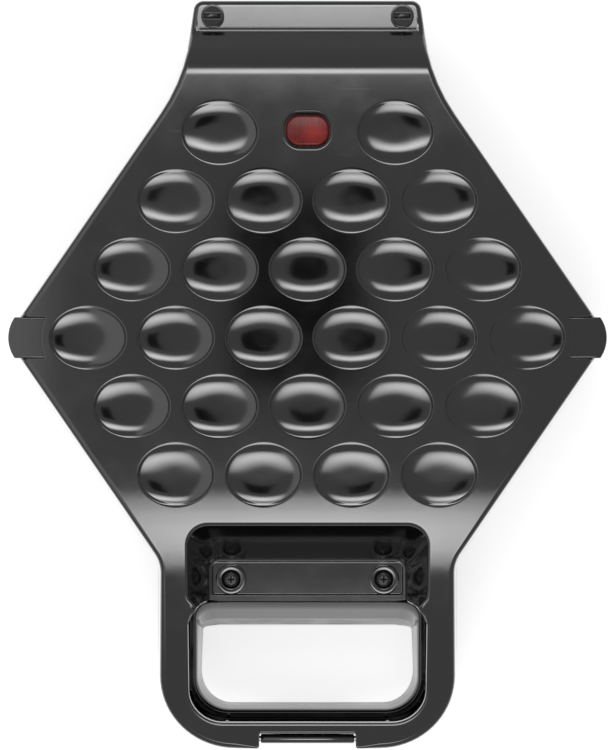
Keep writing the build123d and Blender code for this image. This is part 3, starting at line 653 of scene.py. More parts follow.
def make_recess(skin):
    """The recess in front of the field and the lid's part of the handle opening. Returns the field's edge."""
    cut_y = opening_rear_y - opening_corner
    loop = rectangle_loop(hole_half, hole_front_y, hole_rear_y, [hole_front_round, recess_round], 6.0)
    loop = subdivide(loop, 2.0, (cut_y, opening_rear_y))
    nose = nose_reach * np.exp(-(((loop[:, 1] - nose_y) / nose_width) ** 2))
    loop[:, 0] -= np.sign(loop[:, 0]) * nose * (np.abs(loop[:, 0]) > floor_half)
    into = inward(loop)
    support = 0.6
    soft = 1.3
    heights = lid_level(loop[:, 1])
    floor_round = 5.0
    turn_y = hole_rear_y - recess_round
    turn_x = hole_half - recess_round
    inner_half = floor_half - floor_round
    inner_rear = floor_rear_y - floor_round

    def recess_foot(i):
        """Foot of the wall below a point of the edge: on the floor, or on the opening's cut corner."""
        x, y = loop[i]
        side = 1 if x > 0 else -1
        if y < opening_rear_y - 1e-6:
            arc_x = hole_half - opening_corner + sqrt(max(opening_corner**2 - (y - cut_y) ** 2, 0))
            t = (hole_half - arc_x) / (hole_half - floor_half)
            return (side * arc_x, y, heights[i] + (floor_at(y) - heights[i]) * t), "cut"
        if abs(x) > floor_half and y < turn_y:
            t = (y - opening_rear_y) / (turn_y - opening_rear_y)
            fx, fy = side * floor_half, opening_rear_y + t * (inner_rear - opening_rear_y)
        elif abs(x) >= turn_x:
            a = np.arctan2(y - turn_y, abs(x) - turn_x)
            fx, fy = side * (inner_half + floor_round * cos(a)), inner_rear + floor_round * sin(a)
        else:
            fx, fy = x * inner_half / turn_x, floor_rear_y
        return (fx, fy, floor_at(fy)), "floor"

    def opening_foot(i):
        return (*loop[i], lid_rim_z), "rim"

    def column(i, foot, kind):
        """Points down the wall below a point of the edge, over a rounded crest to the foot."""
        crest = np.array([*loop[i], heights[i]])
        foot = np.array(foot)
        drop = foot - crest
        length = np.linalg.norm(drop)
        direction = drop / length if length > 0.3 else np.array([0, 0, -1.0])
        reach = min(soft, 0.4 * length) if length > 0.3 else 0.05
        out = loop[i] - into[i] * reach
        points = bezier_edge(np.array([*out, float(lid_level(out[1]))]), crest, crest + direction * reach, 5)
        below = min(0.9, 0.3 * length)
        if kind == "rim":
            behind = np.array([*(-into[i] * lip_step), 0.0])
            corner = crest + direction * lip_depth
            points += bezier_edge(corner - direction * 0.5, corner, corner + behind * 0.3, 3)
            points += bezier_edge(corner + behind * 0.8, corner + behind, corner + behind + direction, 2)
            points += bezier_edge(foot + behind - direction * 0.5, foot + behind, foot + behind * 1.2, 3)
            return points
        points.append(crest + drop * 0.5)
        if kind == "floor":
            towards = np.array([*into[i], 0.0])
            return points + bezier_edge(foot - direction * below, foot, foot + towards * below, 3)
        return points + [foot - direction * below * (1 - t) * 0.5 for t in (0, 0.4, 0.8, 1)]

    edge = loop - into * (soft + support)
    first = skin.ring(edge, lid_level(edge[:, 1]))

    def wall_strip(indices, foot_of):
        """Wall below a stretch of the edge. Returns the points at its foot with their kind."""
        columns = []
        feet = []
        for i in indices:
            foot, kind = foot_of(i)
            columns.append([first[i]] + [skin.add(*p) for p in column(i, foot, kind)])
            feet.append((columns[-1][-1], kind))
        for a, b in zip(columns, columns[1:]):
            for k in range(len(a) - 1):
                skin.faces.append([a[k], b[k], b[k + 1], a[k + 1]])
        return feet

    recess, opening = split_loop(loop, cut_y)
    feet = wall_strip(recess, recess_foot)
    wall_strip(opening, opening_foot)

    floor_edge = [v for v, kind in feet if kind == "floor"]
    corners = [skin.points[v] for v, kind in feet if kind == "cut"]
    start = skin.points[floor_edge[0]]
    finish = skin.points[floor_edge[-1]]
    front = [(x, opening_rear_y, floor_at(opening_rear_y)) for x in np.linspace(start[0], finish[0], 25)]
    top_path = [p for p in corners if p[0] > 0] + front + [p for p in corners if p[0] < 0]
    a = [skin.add(*p) for p in top_path]
    b = [skin.add(p[0], p[1], lid_rim_z) for p in top_path]
    skin.bridge(a, b, closed=False)
    make_floor(skin, floor_edge + [skin.add(*p) for p in front[-2:0:-1]])
    return first


def make_floor(skin, edge):
    """Recess floor with a sunk panel and a raised boss round each screw."""
    def panel_level(y):
        return floor_at(y) - panel_drop

    stages = [(-0.5, 0), (-0.2, 0.03), (0, 0.15), (0.12, 0.4), (0.3, 0.95), (0.5, 1.13), (0.9, panel_drop)]
    walls = skin.nested(oblong(0, panel_y, panel_half_x, panel_half_y, 1.6), stages, floor_at)
    skin.rings(walls)
    skin.sheet(edge, [walls[0]], floor_at)
    bosses = []
    for x in (-screw_x, screw_x):
        outer = circle(x, screw_y, 1)
        centre = np.array([x, screw_y])
        foot = centre + (outer - centre) * boss_radius
        rings = [skin.ring(foot, panel_level(foot[:, 1]))]
        stages = [(6.7, 0.3), (6.5, 0.08), (6.2, 0), (4.4, 0), (4.2, 0.1), (4.05, 0.4)]
        stages += [(4.0, pit_depth), (0.5, pit_depth)]
        for r, drop in stages:
            loop = centre + (outer - centre) * r
            rings.append(skin.ring(loop, floor_at(loop[:, 1]) - drop))
        skin.rings(rings)
        bosses.append(rings[0])
    skin.sheet(walls[-1], bosses, panel_level)


def add_ribs(skin, half_x, levels, front, front_levels):
    """Ribs across the handle's two arms and behind its front wall. levels gives low and high from y."""
    for x in (-58.0, 58.0):
        for y in (-112.0, -134.0):
            low, high = levels(y)
            slab(skin, (x - half_x, y - 0.9, low), (x + half_x, y + 0.9, high))
    for x in (-36.0, 36.0):
        slab(skin, (x - 0.9, front[0], front_levels[0]), (x + 0.9, front[1], front_levels[1]))


def lid_ceiling(y):
    return np.minimum(lid_level(y) - wall, ceiling_z)


def make_lid_inside(skin, rim, top, outer_rim):
    """Rim face, inner wall, ceiling and ribs, seen when the lid is open."""
    into = inward(rim) * wall
    inner = rim + into
    share = (lid_ceiling(inner[:, 1]) - lid_rim_z) / (field_z - lid_rim_z)
    upper = rim + (top - rim) * share[:, None] + into
    edge = skin.ring(inner, lid_rim_z)
    high = skin.ring(upper, lid_ceiling(upper[:, 1]))
    skin.rings([outer_rim, edge, high], flip=True)
    radii = [hole_front_round + 2, recess_round + 2]
    loop = rectangle_loop(hole_half + wall, hole_front_y - wall, hole_rear_y + wall, radii, 9.0)
    block = subdivide(loop, 4.0, (land_y,))
    block_top = skin.ring(block, lid_ceiling(block[:, 1]))
    rows = [*np.arange(126, 146, 2.0), *np.arange(149, 155, 1.0), *np.arange(-95, -45, 6.0), -110, -130, -150]
    skin.sheet(high, [block_top], lid_ceiling, rows, 9.0, 2.0, flip=True)

    rear, front = split_loop(block, land_y)
    under = [skin.add(*block[i], hopper_z) for i in rear]
    skin.bridge([block_top[i] for i in rear], under, closed=False)
    foot = [skin.add(*block[i], lid_rim_z) for i in front]
    skin.bridge([block_top[i] for i in front], foot, closed=False)
    skin.sheet(under, [], flat_at(hopper_z), flip=True)
    skin.bridge([under[0], under[-1]], [foot[-1], foot[0]], closed=False, flip=True)
    radii = [hole_front_round, opening_corner]
    opening = rectangle_loop(hole_half, hole_front_y, opening_rear_y, radii, 9.0)
    rim_face = skin.ring(subdivide(opening - inward(opening) * 1.2 * lip_step, 4.0), lid_rim_z)
    skin.sheet(foot, [rim_face], flat_at(lid_rim_z), flip=True)
    low = lid_rim_z + 4
    add_ribs(skin, 3.4, lambda y: (low, float(lid_level(y)) - 1.5), (-164, -155), (low, 66))


# Base

base_front_y = -158.9
base_round = 3.0
tunnel_half = 50.8
tunnel_front_y = -152.9
tunnel_rear_y = -102.7
tunnel_wall = 2.6
tunnel_slant = 17.8
tunnel_taper = 0.036
inner_slant = 15.5
post_sites = ((69.0, -61.0), (-69.0, -61.0), (119.0, corner_y), (-119.0, corner_y), (0.0, 121.0))
foot_sites = ((50.0, -90.0), (-50.0, -90.0), (40.0, 120.0), (-40.0, 120.0))


def cut_rear(loops):
    """Ends matched outlines at the rear wall, with small rounded corners."""
    ref = loops[0]
    kept = ref[:, 1] < base_rear_y - 3.0
    count = len(ref)
    start = next(i for i in range(count) if kept[i] and not kept[i - 1])
    order = [(start + k) % count for k in range(count) if kept[(start + k) % count]]
    beyond = (order[-1] + 1) % count
    results = []
    for loop in loops:
        last = loop[order[-1]]
        following = loop[beyond]
        t = (base_rear_y - last[1]) / (following[1] - last[1])
        x = last[0] + (following[0] - last[0]) * t
        corner = arc_corner(last, (x, base_rear_y), (0, base_rear_y), 1.5, 4)
        mirror = [np.array([-p[0], p[1]]) for p in reversed(corner)]
        results.append(np.array([loop[i] for i in order] + corner + mirror))
    return results


def towards_rear(loop):
    """How much of the handle opening's slant a point gets: 0 in front, 1 at the rear."""
    return np.clip((loop[:, 1] + 140) / 37, 0, 1) ** 2


def make_base():
    skin = Skin()
    rim, counts = rounded_loop(*shell_corners(base_rim_widths, base_front_y, rear_y, rim_radii, notch=False))
    corners = shell_corners(base_floor_widths, base_front_y + 1.5, rear_y - 2, rim_radii, notch=False)
    low, _ = rounded_loop(*corners, counts)
    rim, low = refine((rim, low), bend_limit, (-108, -100, -116, -124))
    rim, low = cut_rear([rim, low])
    height = base_level(low[:, 1])
    drop = base_rim_z - foot_height

    def on_wall(z):
        share = (base_rim_z - np.maximum(z, height)) / drop
        return rim + (low - rim) * share[:, None]

    normal = inward(on_wall(height))
    rings = skin.nested(rim, ((0.6, base_rim_z), (0.17, base_rim_z - 0.15), (0, base_rim_z - 0.6)))
    rings += wall_rings(skin, on_wall, normal, base_rim_z, (0.3, 0.65), height, base_round, -1)
    edge = on_wall(height) + normal * (base_round + 0.5)
    rings.append(skin.ring(edge, base_level(edge[:, 1])))
    skin.rings(rings, flip=True)

    radii = [hole_front_round, opening_corner]
    top_loop = subdivide(rectangle_loop(tunnel_half, tunnel_front_y, tunnel_rear_y, radii, 6.0), 4.0)
    bottom_z = base_level(top_loop[:, 1])
    stages = []
    for share in (0, 0.02, 0.35, 0.7, 0.985, 1.0):
        z = base_rim_z + (bottom_z - base_rim_z) * share
        down = base_rim_z - z
        loop = top_loop.copy()
        loop[:, 1] -= towards_rear(loop) * tunnel_slant * down / base_rim_z
        loop[:, 0] *= 1 - tunnel_taper * down / base_rim_z
        soft = 0.7 if share in (0, 1) else 0.0
        stages.append((loop - inward(loop) * soft, z))
    tunnel = [skin.ring(loop, z) for loop, z in stages]
    skin.rings(tunnel)
    holes = [tunnel[-1]]
    for x, y in post_sites:
        disc = circle(x, y, 1, 24)
        centre = np.array([x, y])
        stages = [(4.3, foot_height), (3.7, foot_height + 0.5), (3.6, 30), (1.8, 30), (1.8, 40)]
        tube = [skin.ring(centre + (disc - centre) * r0, z) for r0, z in stages]
        skin.rings(tube, flip=True)
        holes.append(tube[0])
    bend_rows = range(-124, -91, 4)
    skin.sheet(rings[-1], holes, base_level, bend_rows, flip=True)

    inner = rim + inward(rim) * wall
    lower = on_wall(height + wall) + normal * wall
    face = skin.ring(inner, base_rim_z)
    skin.bridge(rings[0], face)
    floor = skin.ring(lower, base_level(lower[:, 1]) + wall)
    skin.bridge(face, floor)
    half = tunnel_half + tunnel_wall
    front = tunnel_front_y - tunnel_wall
    radii = [hole_front_round + 2, opening_corner + 2]
    block = subdivide(rectangle_loop(half, front, tunnel_rear_y + wall, radii, 9.0), 4.0)
    block_low = block.copy()
    block_low[:, 1] -= towards_rear(block) * inner_slant
    block_top = skin.ring(block, base_rim_z)
    block_foot = skin.ring(block_low, base_level(block_low[:, 1]) + wall)
    skin.bridge(block_foot, block_top)
    skin.sheet(block_top, [tunnel[0]], flat_at(base_rim_z))

    def inner_level(y):
        return base_level(y) + wall

    skin.sheet(floor, [block_foot], inner_level, bend_rows, 7.0)
    high = base_rim_z - 4
    add_ribs(skin, 3.6, lambda y: (float(inner_level(y)) - 1, high), (-157.5, -154.5), (24, high))
    return skin


def side_plate(skin, outline, x0, x1, bevel=0.5):
    """A plate that stands in the YZ plane between two values of x, with rounded edges."""
    loop = np.array(outline, float)
    area = 0.5 * np.sum(loop[:, 0] * np.roll(loop[:, 1], -1) - np.roll(loop[:, 0], -1) * loop[:, 1])
    if area < 0:
        loop = loop[::-1]
    into = inward(loop)
    rings = []
    for inset, x in bevelled(x0, x1, bevel):
        rings.append([skin.add(x, *p) for p in loop + into * inset])
    skin.capped(rings)


def add_base_ears(skin):
    """Two hinge knuckles on the rear wall and the catch on the front wall."""
    hinge_y, hinge_z, reach = 146.0, 46.5, 5.0
    angles = np.radians(np.linspace(-50, 115, 18))
    arc = [(hinge_y + reach * cos(a), hinge_z + reach * sin(a)) for a in angles]
    outline = [(139.0, 28.0), *arc, (139.2, 46.0)]
    for side in (-1, 1):
        x0, x1 = sorted((side * 41.0, side * 45.0))
        side_plate(skin, outline, x0, x1)
    catch = [(-158, 33), (-159.9, 35), (-159.9, 36.2), (-158, 40)]
    side_plate(skin, catch, -16, 16, 0.15)


# Cooking plates

def bubble_stations():
    """Shares of a bowl's half axes and depths, from its rounded rim downwards."""
    rim_round = 0.9
    a0 = np.array([1 + rim_round / bubble_rx, 0.0])
    start = radians(13)
    b0 = np.array([cos(start), bubble_depth * sin(start)])
    stations = [(1 + 2 * rim_round / bubble_rx, 0.0)]
    stations += [tuple(p) for p in bezier_edge(a0, np.array([1.0, 0.0]), b0, 5)]
    for k in range(1, 12):
        a = start + (pi / 2 - start) * k / 12
        stations.append((cos(a), bubble_depth * sin(a)))
    return stations


def make_plate(face_z, sense):
    """A plate with its face at face_z. sense is 1 if it faces up and -1 if down."""
    skin = Skin()
    flip = sense < 0
    rise = tan(radians(edge_slope))
    front, rear, corner, back, boss_depth = -68.0, 126.0, 131.8, 3.5, 13.2
    right = [(corner - (corner_y - front) / rise, front), (corner, corner_y)]
    right.append((corner - (rear - corner_y) / rise, rear))
    loop, _ = rounded_loop(*mirrored_corners(right, [7, 9, 7]), None, 6)
    stages = [(0.8, -back), (0.23, -3.27), (0, -2.7), (0, 1.9), (0.17, 2.33), (0.6, 2.5), (2.7, 2.5)]
    stages += [(3.2, 2.3), (3.5, 1.8), (3.75, 0.9), (4.1, 0.4), (4.7, 0.1), (5.4, 0.0), (5.8, 0.0)]
    rings = skin.nested(loop, [(inset, face_z + sense * h) for inset, h in stages])
    skin.rings(rings, flip=flip)

    def cup(x, y, stations, depth, count, flip):
        """A bowl or the boss behind it, from its edge to its middle. Returns its edge."""
        oval = []
        for share, drop in stations:
            loop = circle(0, 0, 1, count) * (bubble_rx * share, bubble_ry * share) + (x, y)
            oval.append(skin.ring(loop, face_z - sense * drop))
        skin.rings(oval, flip=flip)
        skin.fan(oval[-1], (x, y, face_z - sense * depth), flip=flip)
        return oval[0]

    boss = ((1.2, back), (1.12, 5.0), (1.02, 8.5), (0.85, 11.2), (0.6, 12.8), (0.3, boss_depth))
    holes = []
    backs = []
    for x, y in bubble_sites():
        holes.append(cup(x, y, bubble_stations(), bubble_depth, 48, flip))
        backs.append(cup(x, y, boss, boss_depth, 20, not flip))
    skin.sheet(rings[-1], holes, flat_at(face_z), flip=flip)
    skin.sheet(rings[0], backs, flat_at(face_z - sense * back), flip=not flip)
    return skin


# Small parts

def make_lens():
    """Oblong lens with a softly crowned top that shows fine ribs inside."""
    skin = Skin()
    loop = oblong(0, lamp_y, lamp_half_x, lamp_half_y, 6.0, 5)
    dome_z = 88.4
    stages = [(0, 82.9), (0, 84.6), (0, dome_z)]
    stages += [(1.1 * (1 - cos(a)), dome_z + sin(a)) for a in np.radians((20, 40, 60, 78, 90))]
    stages += [(2.2, 89.46), (3.6, 89.54), (5.2, 89.58)]
    skin.capped(skin.nested(loop, stages))
    flange = oblong(0, lamp_y, 12.4, 9.6, 6.0, 10)
    skin.capped([skin.ring(flange, 82.8), skin.ring(flange, 84.4)])
    return skin


def sunk_top(skin, rim, walls, z, slope=None):
    """A flat top with a flat-bottomed recess in it."""
    skin.rings(walls)
    skin.faces.append(walls[-1])
    skin.sheet(rim, [walls[0]], flat_at(z), slope=slope)


def slotted_head(skin, cx, cy, z):
    """Round slotted head: a turned edge and a flat top with a slot, which leans forward a little."""
    first = len(skin.points)
    radius, height, slot_reach, slot_half, slot_depth = 5.1, 2.4, 3.5, 1.05, 1.3
    flat_radius = radius - 1.2
    stations = rounded_stations([(flat_radius, height), (radius, height), (radius, 0)], 0.55, 5)
    turned(skin, stations, (cx, cy, z), count=64)
    flat = skin.ring(circle(cx, cy, flat_radius, 64), z + height)
    slot = oblong(cx, cy, slot_reach, slot_half, 0.35, 20)
    stages = [(-0.4, 0), (-0.18, 0.06), (-0.05, 0.18), (0, 0.4), (0, slot_depth)]
    walls = skin.nested(slot, stages, flat_at(z + height))
    lean = tan(radians(3.5))
    sunk_top(skin, flat, walls, z + height, flat_at(lean))
    for i in range(first, len(skin.points)):
        x, y, h = skin.points[i]
        skin.points[i] = (x, y, h - lean * (cy + radius - y) * max(h - z, 0) / height)


def cross_head(skin, cx, cy, z):
    """Pan head with a cross recess."""
    flat_radius, height = 1.75, 2.2
    dome = [(flat_radius, height), (2.6, 2.1), (3.2, 1.8), (3.6, 1.25), (3.7, 0.7), (3.7, 0)]
    turned(skin, rounded_stations(dome, 0.3, 2), (cx, cy, z))
    arm, half = 1.55, 0.36
    outline = [(arm, -half), (arm, half), (half, half), (half, arm), (-half, arm), (-half, half)]
    outline += [(-arm, half), (-arm, -half), (-half, -half), (-half, -arm), (half, -arm), (half, -half)]
    loop = np.array(outline) + (cx, cy)
    flat = skin.ring(circle(cx, cy, flat_radius, 48), z + height)
    walls = [skin.ring(loop, z + height)]
    centre = np.array([cx, cy])
    walls.append(skin.ring(centre + (loop - centre) * 0.9, z + 1.6))
    walls.append(skin.ring(centre + (loop - centre) * 0.45, z + 0.7))
    sunk_top(skin, flat, walls, z + height)


def make_feet():
    skin = Skin()
    section = [(0, 0.6), (4.4, 0.6), (5.0, 0), (7.0, 0), (8.0, 1.2), (7.7, 5.8), (0, 5.8)]
    for x, y in foot_sites:
        turned(skin, rounded_stations(section, 0.6), (x, y, 0), flip=True)
    return skin


def make_gland():
    """Cord entry: collar and ribbed snout with a round bore."""
    skin = Skin()
    section = [(3.6, 131.2), (5.0, 131.2), (5.0, 139.9), (7.2, 139.9), (7.2, 142.8), (5.9, 142.8)]
    for k in range(2):
        y = 143.4 + 1.6 * k
        section += [(5.3, y), (5.3, y + 0.7), (5.8, y + 0.9), (5.8, y + 1.5)]
    section += [(5.4, 147.0), (4.2, 147.0), (3.6, 146.4), (3.6, 131.2)]
    turned(skin, rounded_stations(section, 0.3, 2), (0, 0, entry_z), upright=False, flip=True)
    return skin


def make_latch():
    """Hanging latch bar with a rolled top edge and a finger lip."""
    skin = Skin()
    y, z = -162.5, 61.5
    outer, inner = y - 1.3, y + 1.3
    roll_radius, half = 2.1, 20.8
    angles = np.radians(np.linspace(-52, 232, 20))
    roll = [(y + roll_radius * cos(a), z + roll_radius * sin(a)) for a in angles]
    foot = 25.5
    outline = [(inner, foot + 7), (inner, z - 2.4), *roll, (outer, z - 2.4), (outer, foot + 5)]
    outline += [(-165.2, foot + 3.4), (-166.4, foot + 1.2), (-166.2, foot + 0.2), (-165.4, foot)]
    outline += [(inner, foot + 2.2), (inner, foot + 3.5), (-160.2, foot + 6), (-160.2, foot + 7)]
    side_plate(skin, outline, -half, half, 0.35)
    return skin


# Materials

def set_socket(node, key, value):
    """Sets a node's input, or links it where the value is another node's output."""
    if isinstance(value, bpy.types.NodeSocket):
        node.id_data.links.new(value, node.inputs[key])
    else:
        node.inputs[key].default_value = value


def set_sockets(node, *places, **names):
    """Sets a node's inputs by place, or by name in lower case with underscores."""
    for key, value in enumerate(places):
        set_socket(node, key, value)
    for key, value in names.items():
        set_socket(node, key.replace("_", " ").title().replace("Ior", "IOR"), value)


def add_node(tree, kind, *places, operation=None, **names):
    node = tree.nodes.new("ShaderNode" + kind)
    if operation:
        node.operation = operation
    set_sockets(node, *places, **names)
    return node


def maths(tree, operation, *values):
    return add_node(tree, "Math", *values, operation=operation).outputs[0]


def node_material(name):
    material = bpy.data.materials.new(name)
    material.use_nodes = True
    return material, material.node_tree


class Finish:
    """A node material on a Principled shader, with helpers for procedural detail in metres."""

    def __init__(self, name, colour, roughness, metallic=0.0, **sockets):
        self.material, self.tree = node_material(name)
        self.coords = self.add("TexCoord").outputs["Object"]
        self.relief = None
        self.set(base_color=(*colour, 1), roughness=roughness, metallic=metallic, **sockets)

    def set(self, **sockets):
        set_sockets(self.tree.nodes["Principled BSDF"], **sockets)

    def add(self, kind, *places, **names):
        return add_node(self.tree, kind, *places, **names)

    def stretched(self, scale, turn=(0, 0, 0)):
        return self.add("Mapping", vector=self.coords, scale=scale, rotation=turn).outputs["Vector"]

    def noise(self, grain_mm, detail, coords=None):
        """Noise whose grains are about the given size."""
        vector = coords or self.coords
        return self.add("TexNoise", vector=vector, scale=1000 / grain_mm, detail=detail).outputs["Fac"]

    def specks(self, spacing_mm, size):
        """Small scattered specks, white on black."""
        cells = self.add("TexVoronoi", vector=self.coords, scale=1000 / spacing_mm)
        return self.remap(cells.outputs["Distance"], 0.0, size, 1.0, 0.0)

    def remap(self, value, low, high, to_low=0.0, to_high=1.0):
        return self.add("MapRange", value, low, high, to_low, to_high).outputs["Result"]

    def patches(self, grain_mm, detail, low=0.35, high=0.65):
        """Noise with more contrast, as soft patches of 0 and 1."""
        return self.remap(self.noise(grain_mm, detail), low, high)

    def mixed(self, share, a, b):
        node = self.add("Mix", share)
        node.data_type = "RGBA"
        for key, value in ((6, a), (7, b)):
            set_socket(node, key, (*value, 1) if isinstance(value, tuple) else value)
        return node.outputs[2]

    def colour(self, share, a, b):
        """Base colour that goes from one colour to another."""
        self.set(base_color=self.mixed(share, a, b))

    def rough(self, share, low, high):
        """Roughness that follows a noise."""
        self.set(roughness=self.remap(share, 0.3, 0.7, low, high))

    def bump(self, output, depth_mm):
        """Adds relief of about the given depth."""
        before = {"normal": self.relief} if self.relief else {}
        bump = self.add("Bump", height=output, distance=depth_mm / 1000, strength=1.0, **before)
        self.relief = bump.outputs["Normal"]
        self.set(normal=self.relief)


def gloss_black(name="gloss_black_plastic", ior=1.6, coat_weight=1.0):
    """Glossy black moulded plastic: faint orange peel, hairline scratches and a little dust."""
    coat = {"coat_weight": coat_weight, "coat_ior": 1.6, "coat_roughness": 0.1}
    f = Finish(name, (0.005, 0.005, 0.0055), 0.14, ior=ior, **coat)
    f.colour(f.patches(38, 3), (0.0042, 0.0042, 0.0046), (0.0062, 0.0062, 0.0066))
    scratch = f.noise(0.9, 2, f.stretched((0.03, 1, 1), (0, 0, radians(24))))
    hairline = f.remap(scratch, 0.68, 0.74)
    smear = f.remap(f.noise(16, 4), 0.4, 0.7, 0.09, 0.17)
    f.set(roughness=maths(f.tree, "ADD", smear, maths(f.tree, "MULTIPLY", hairline, 0.1)))
    f.bump(f.noise(2.6, 2), 0.004)
    f.bump(hairline, -0.0012)
    f.set(coat_normal=f.relief)
    return f.material


def satin_black():
    """Finely spark-eroded black plastic."""
    f = Finish("satin_black_plastic", (0.012, 0.012, 0.013), 0.38, ior=1.5)
    f.rough(f.noise(9, 3), 0.32, 0.46)
    f.colour(f.noise(14, 3), (0.012, 0.012, 0.013), (0.018, 0.018, 0.0195))
    f.bump(f.noise(0.35, 2), 0.012)
    return f.material


def nonstick():
    """Dark cast plate with a sprayed non-stick coat: fine grain, pale flecks and slight pooling."""
    f = Finish("nonstick_coating", (0.03, 0.03, 0.031), 0.34, ior=1.45)
    pooled = f.mixed(f.patches(30, 3, 0.3, 0.7), (0.026, 0.026, 0.027), (0.038, 0.038, 0.039))
    f.colour(f.specks(1.5, 0.16), pooled, (0.17, 0.17, 0.165))
    f.rough(f.noise(6, 4), 0.27, 0.42)
    f.bump(f.noise(0.6, 3), 0.02)
    return f.material


def sheet_steel():
    f = Finish("sheet_steel", (0.56, 0.56, 0.57), 0.3, 1.0)
    grain = f.noise(1.2, 3, f.stretched((0.04, 1, 1)))
    f.colour(f.noise(26, 4), (0.5, 0.5, 0.51), (0.62, 0.62, 0.63))
    f.rough(grain, 0.24, 0.42)
    f.bump(grain, 0.003)
    return f.material


def zinc_steel():
    f = Finish("zinc_steel", (0.62, 0.63, 0.66), 0.24, 1.0)
    f.colour(f.patches(2.2, 2), (0.58, 0.59, 0.62), (0.7, 0.7, 0.72))
    f.rough(f.noise(1.1, 3), 0.18, 0.34)
    f.bump(f.noise(0.5, 2), 0.003)
    return f.material


def element_steel():
    """Sheathed heating tube, browned and greyed by heat."""
    f = Finish("element_steel", (0.22, 0.2, 0.18), 0.42, 1.0)
    f.colour(f.patches(22, 4), (0.2, 0.18, 0.17), (0.34, 0.26, 0.19))
    f.rough(f.noise(3, 3), 0.34, 0.54)
    f.bump(f.noise(0.7, 3), 0.01)
    return f.material


def foot_rubber():
    f = Finish("foot_rubber", (0.018, 0.018, 0.018), 0.7)
    f.colour(f.patches(5, 4, 0.4, 0.75), (0.016, 0.016, 0.016), (0.034, 0.033, 0.032))
    f.rough(f.noise(2, 2), 0.62, 0.82)
    f.bump(f.noise(0.5, 3), 0.02)
    return f.material


def lamp_red():
    """Deep red clear plastic over a ribbed back, with a painted highlight: a paler red spot right of centre
    and a little towards the front.
    """
    f = Finish("lamp_red_plastic", (0.3, 0.014, 0.008), 0.12, ior=1.4)
    ribs = f.add("TexWave", vector=f.coords, scale=180, distortion=0.6)
    ribs.bands_direction = "X"
    # Painted highlight: the base colour turns a paler red in a small spot near the top, right of centre,
    # where a reflection falls.
    spot = f.add("VectorMath", f.coords, (0.0028, 0.1052, 0.0895), operation="DISTANCE")
    emission_and_painted_highlight = f.remap(spot.outputs["Value"], 0.0005, 0.0065, 1, 0)
    body = f.mixed(ribs.outputs["Fac"], (0.14, 0.009, 0.007), (0.2, 0.011, 0.009))
    f.colour(maths(f.tree, "MULTIPLY", emission_and_painted_highlight, 0.75), body, (0.42, 0.026, 0.016))
    f.rough(f.noise(2, 2), 0.22, 0.3)
    f.bump(f.noise(3, 2), 0.004)
    return f.material


def lamp_white():
    f = Finish("heatproof_white", (0.68, 0.66, 0.6), 0.5)
    f.colour(f.patches(9, 4, 0.35, 0.7), (0.72, 0.7, 0.65), (0.6, 0.56, 0.48))
    f.rough(f.noise(3, 2), 0.42, 0.6)
    f.bump(f.noise(0.6, 2), 0.01)
    return f.material


def lamp_glass():
    f = Finish("lamp_glass", (0.9, 0.82, 0.74), 0.05, ior=1.5, transmission_weight=0.9)
    f.colour(f.noise(4, 2), (0.92, 0.86, 0.8), (0.88, 0.7, 0.55))
    f.rough(f.noise(1.5, 2), 0.02, 0.1)
    f.bump(f.noise(1.5, 2), 0.003)
    return f.material


def blackened_steel():
    """Blackened screw heads with turning marks and bare metal showing faintly."""
    f = Finish("blackened_steel", (0.03, 0.03, 0.032), 0.24, 0.6)
    marks = f.noise(0.7, 2, f.stretched((1, 0.15, 1)))
    f.colour(f.remap(marks, 0.5, 0.75), (0.022, 0.022, 0.024), (0.07, 0.07, 0.072))
    f.rough(marks, 0.18, 0.34)
    f.bump(marks, 0.004)
    return f.material


# Pieces

finishes = {
    "shell_plastic": gloss_black(),
    "nonstick_coating": nonstick(),
    "sheet_steel": sheet_steel(),
    "zinc_steel": zinc_steel(),
    "element_steel": element_steel(),
    "black_plastic": satin_black(),
    "foot_rubber": foot_rubber(),
    "lamp_white": lamp_white(),
    "lamp_glass": lamp_glass(),
}


def place(skin, name, body, node, slot, material=None):
    piece = skin.build(name)
    piece.data.materials.append(material or finishes[slot])
    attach(piece, body)
    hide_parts(node)


def pair_of(maker, x, y, z):
    skin = Skin()
    for side in (-1, 1):
        maker(skin, side * x, y, z)
    return skin


base_skin = make_base()
add_base_ears(base_skin)
lower_plate = make_plate(lower_face_z, 1)
upper_plate = make_plate(upper_face_z, -1)
hinge_heads = pair_of(slotted_head, hinge_screw_x, hinge_screw_y, shelf_z)
front_heads = pair_of(cross_head, screw_x, screw_y, floor_z - pit_depth)
base_gloss = gloss_black("base_black_plastic", 1.48, 0.0)
hinge_gloss = finishes["shell_plastic"]
place(make_lid(), "lid_shell", "lid", "lid_cover", "shell_plastic")
place(base_skin, "base_housing", "base", "base_shell", "shell_plastic", base_gloss)
place(lower_plate, "lower_plate_casting", "base", "lower_cooking_plate", "nonstick_coating")
place(upper_plate, "upper_plate_casting", "lid", "upper_cooking_plate", "nonstick_coating")
place(make_lens(), "lamp_lens_moulding", "lid", "pilot_lamp_lens", "lamp_red", lamp_red())
place(hinge_heads, "hinge_screw_heads", "lid", "lid_hinge_screws", "black_plastic", hinge_gloss)
place(front_heads, "front_screw_heads", "lid", "lid_front_screws", "black_plastic", blackened_steel())
place(make_feet(), "rubber_feet", "base", "base_feet", "foot_rubber")
place(make_gland(), "cord_gland", "base", "cord_entry_bush", "black_plastic")
place(make_latch(), "latch_bar", "latch", "latch_clip", "shell_plastic")

for part in frame["record"]["subparts"]:
    if part["material_slot"] in finishes:
        for mesh_slot in frame["nodes"][part["node"]].material_slots:
            mesh_slot.material = finishes[part["material_slot"]]


# Floor, light and camera, in metres

strip_length = 0.46
strip_height = 0.99
surroundings = 0.35


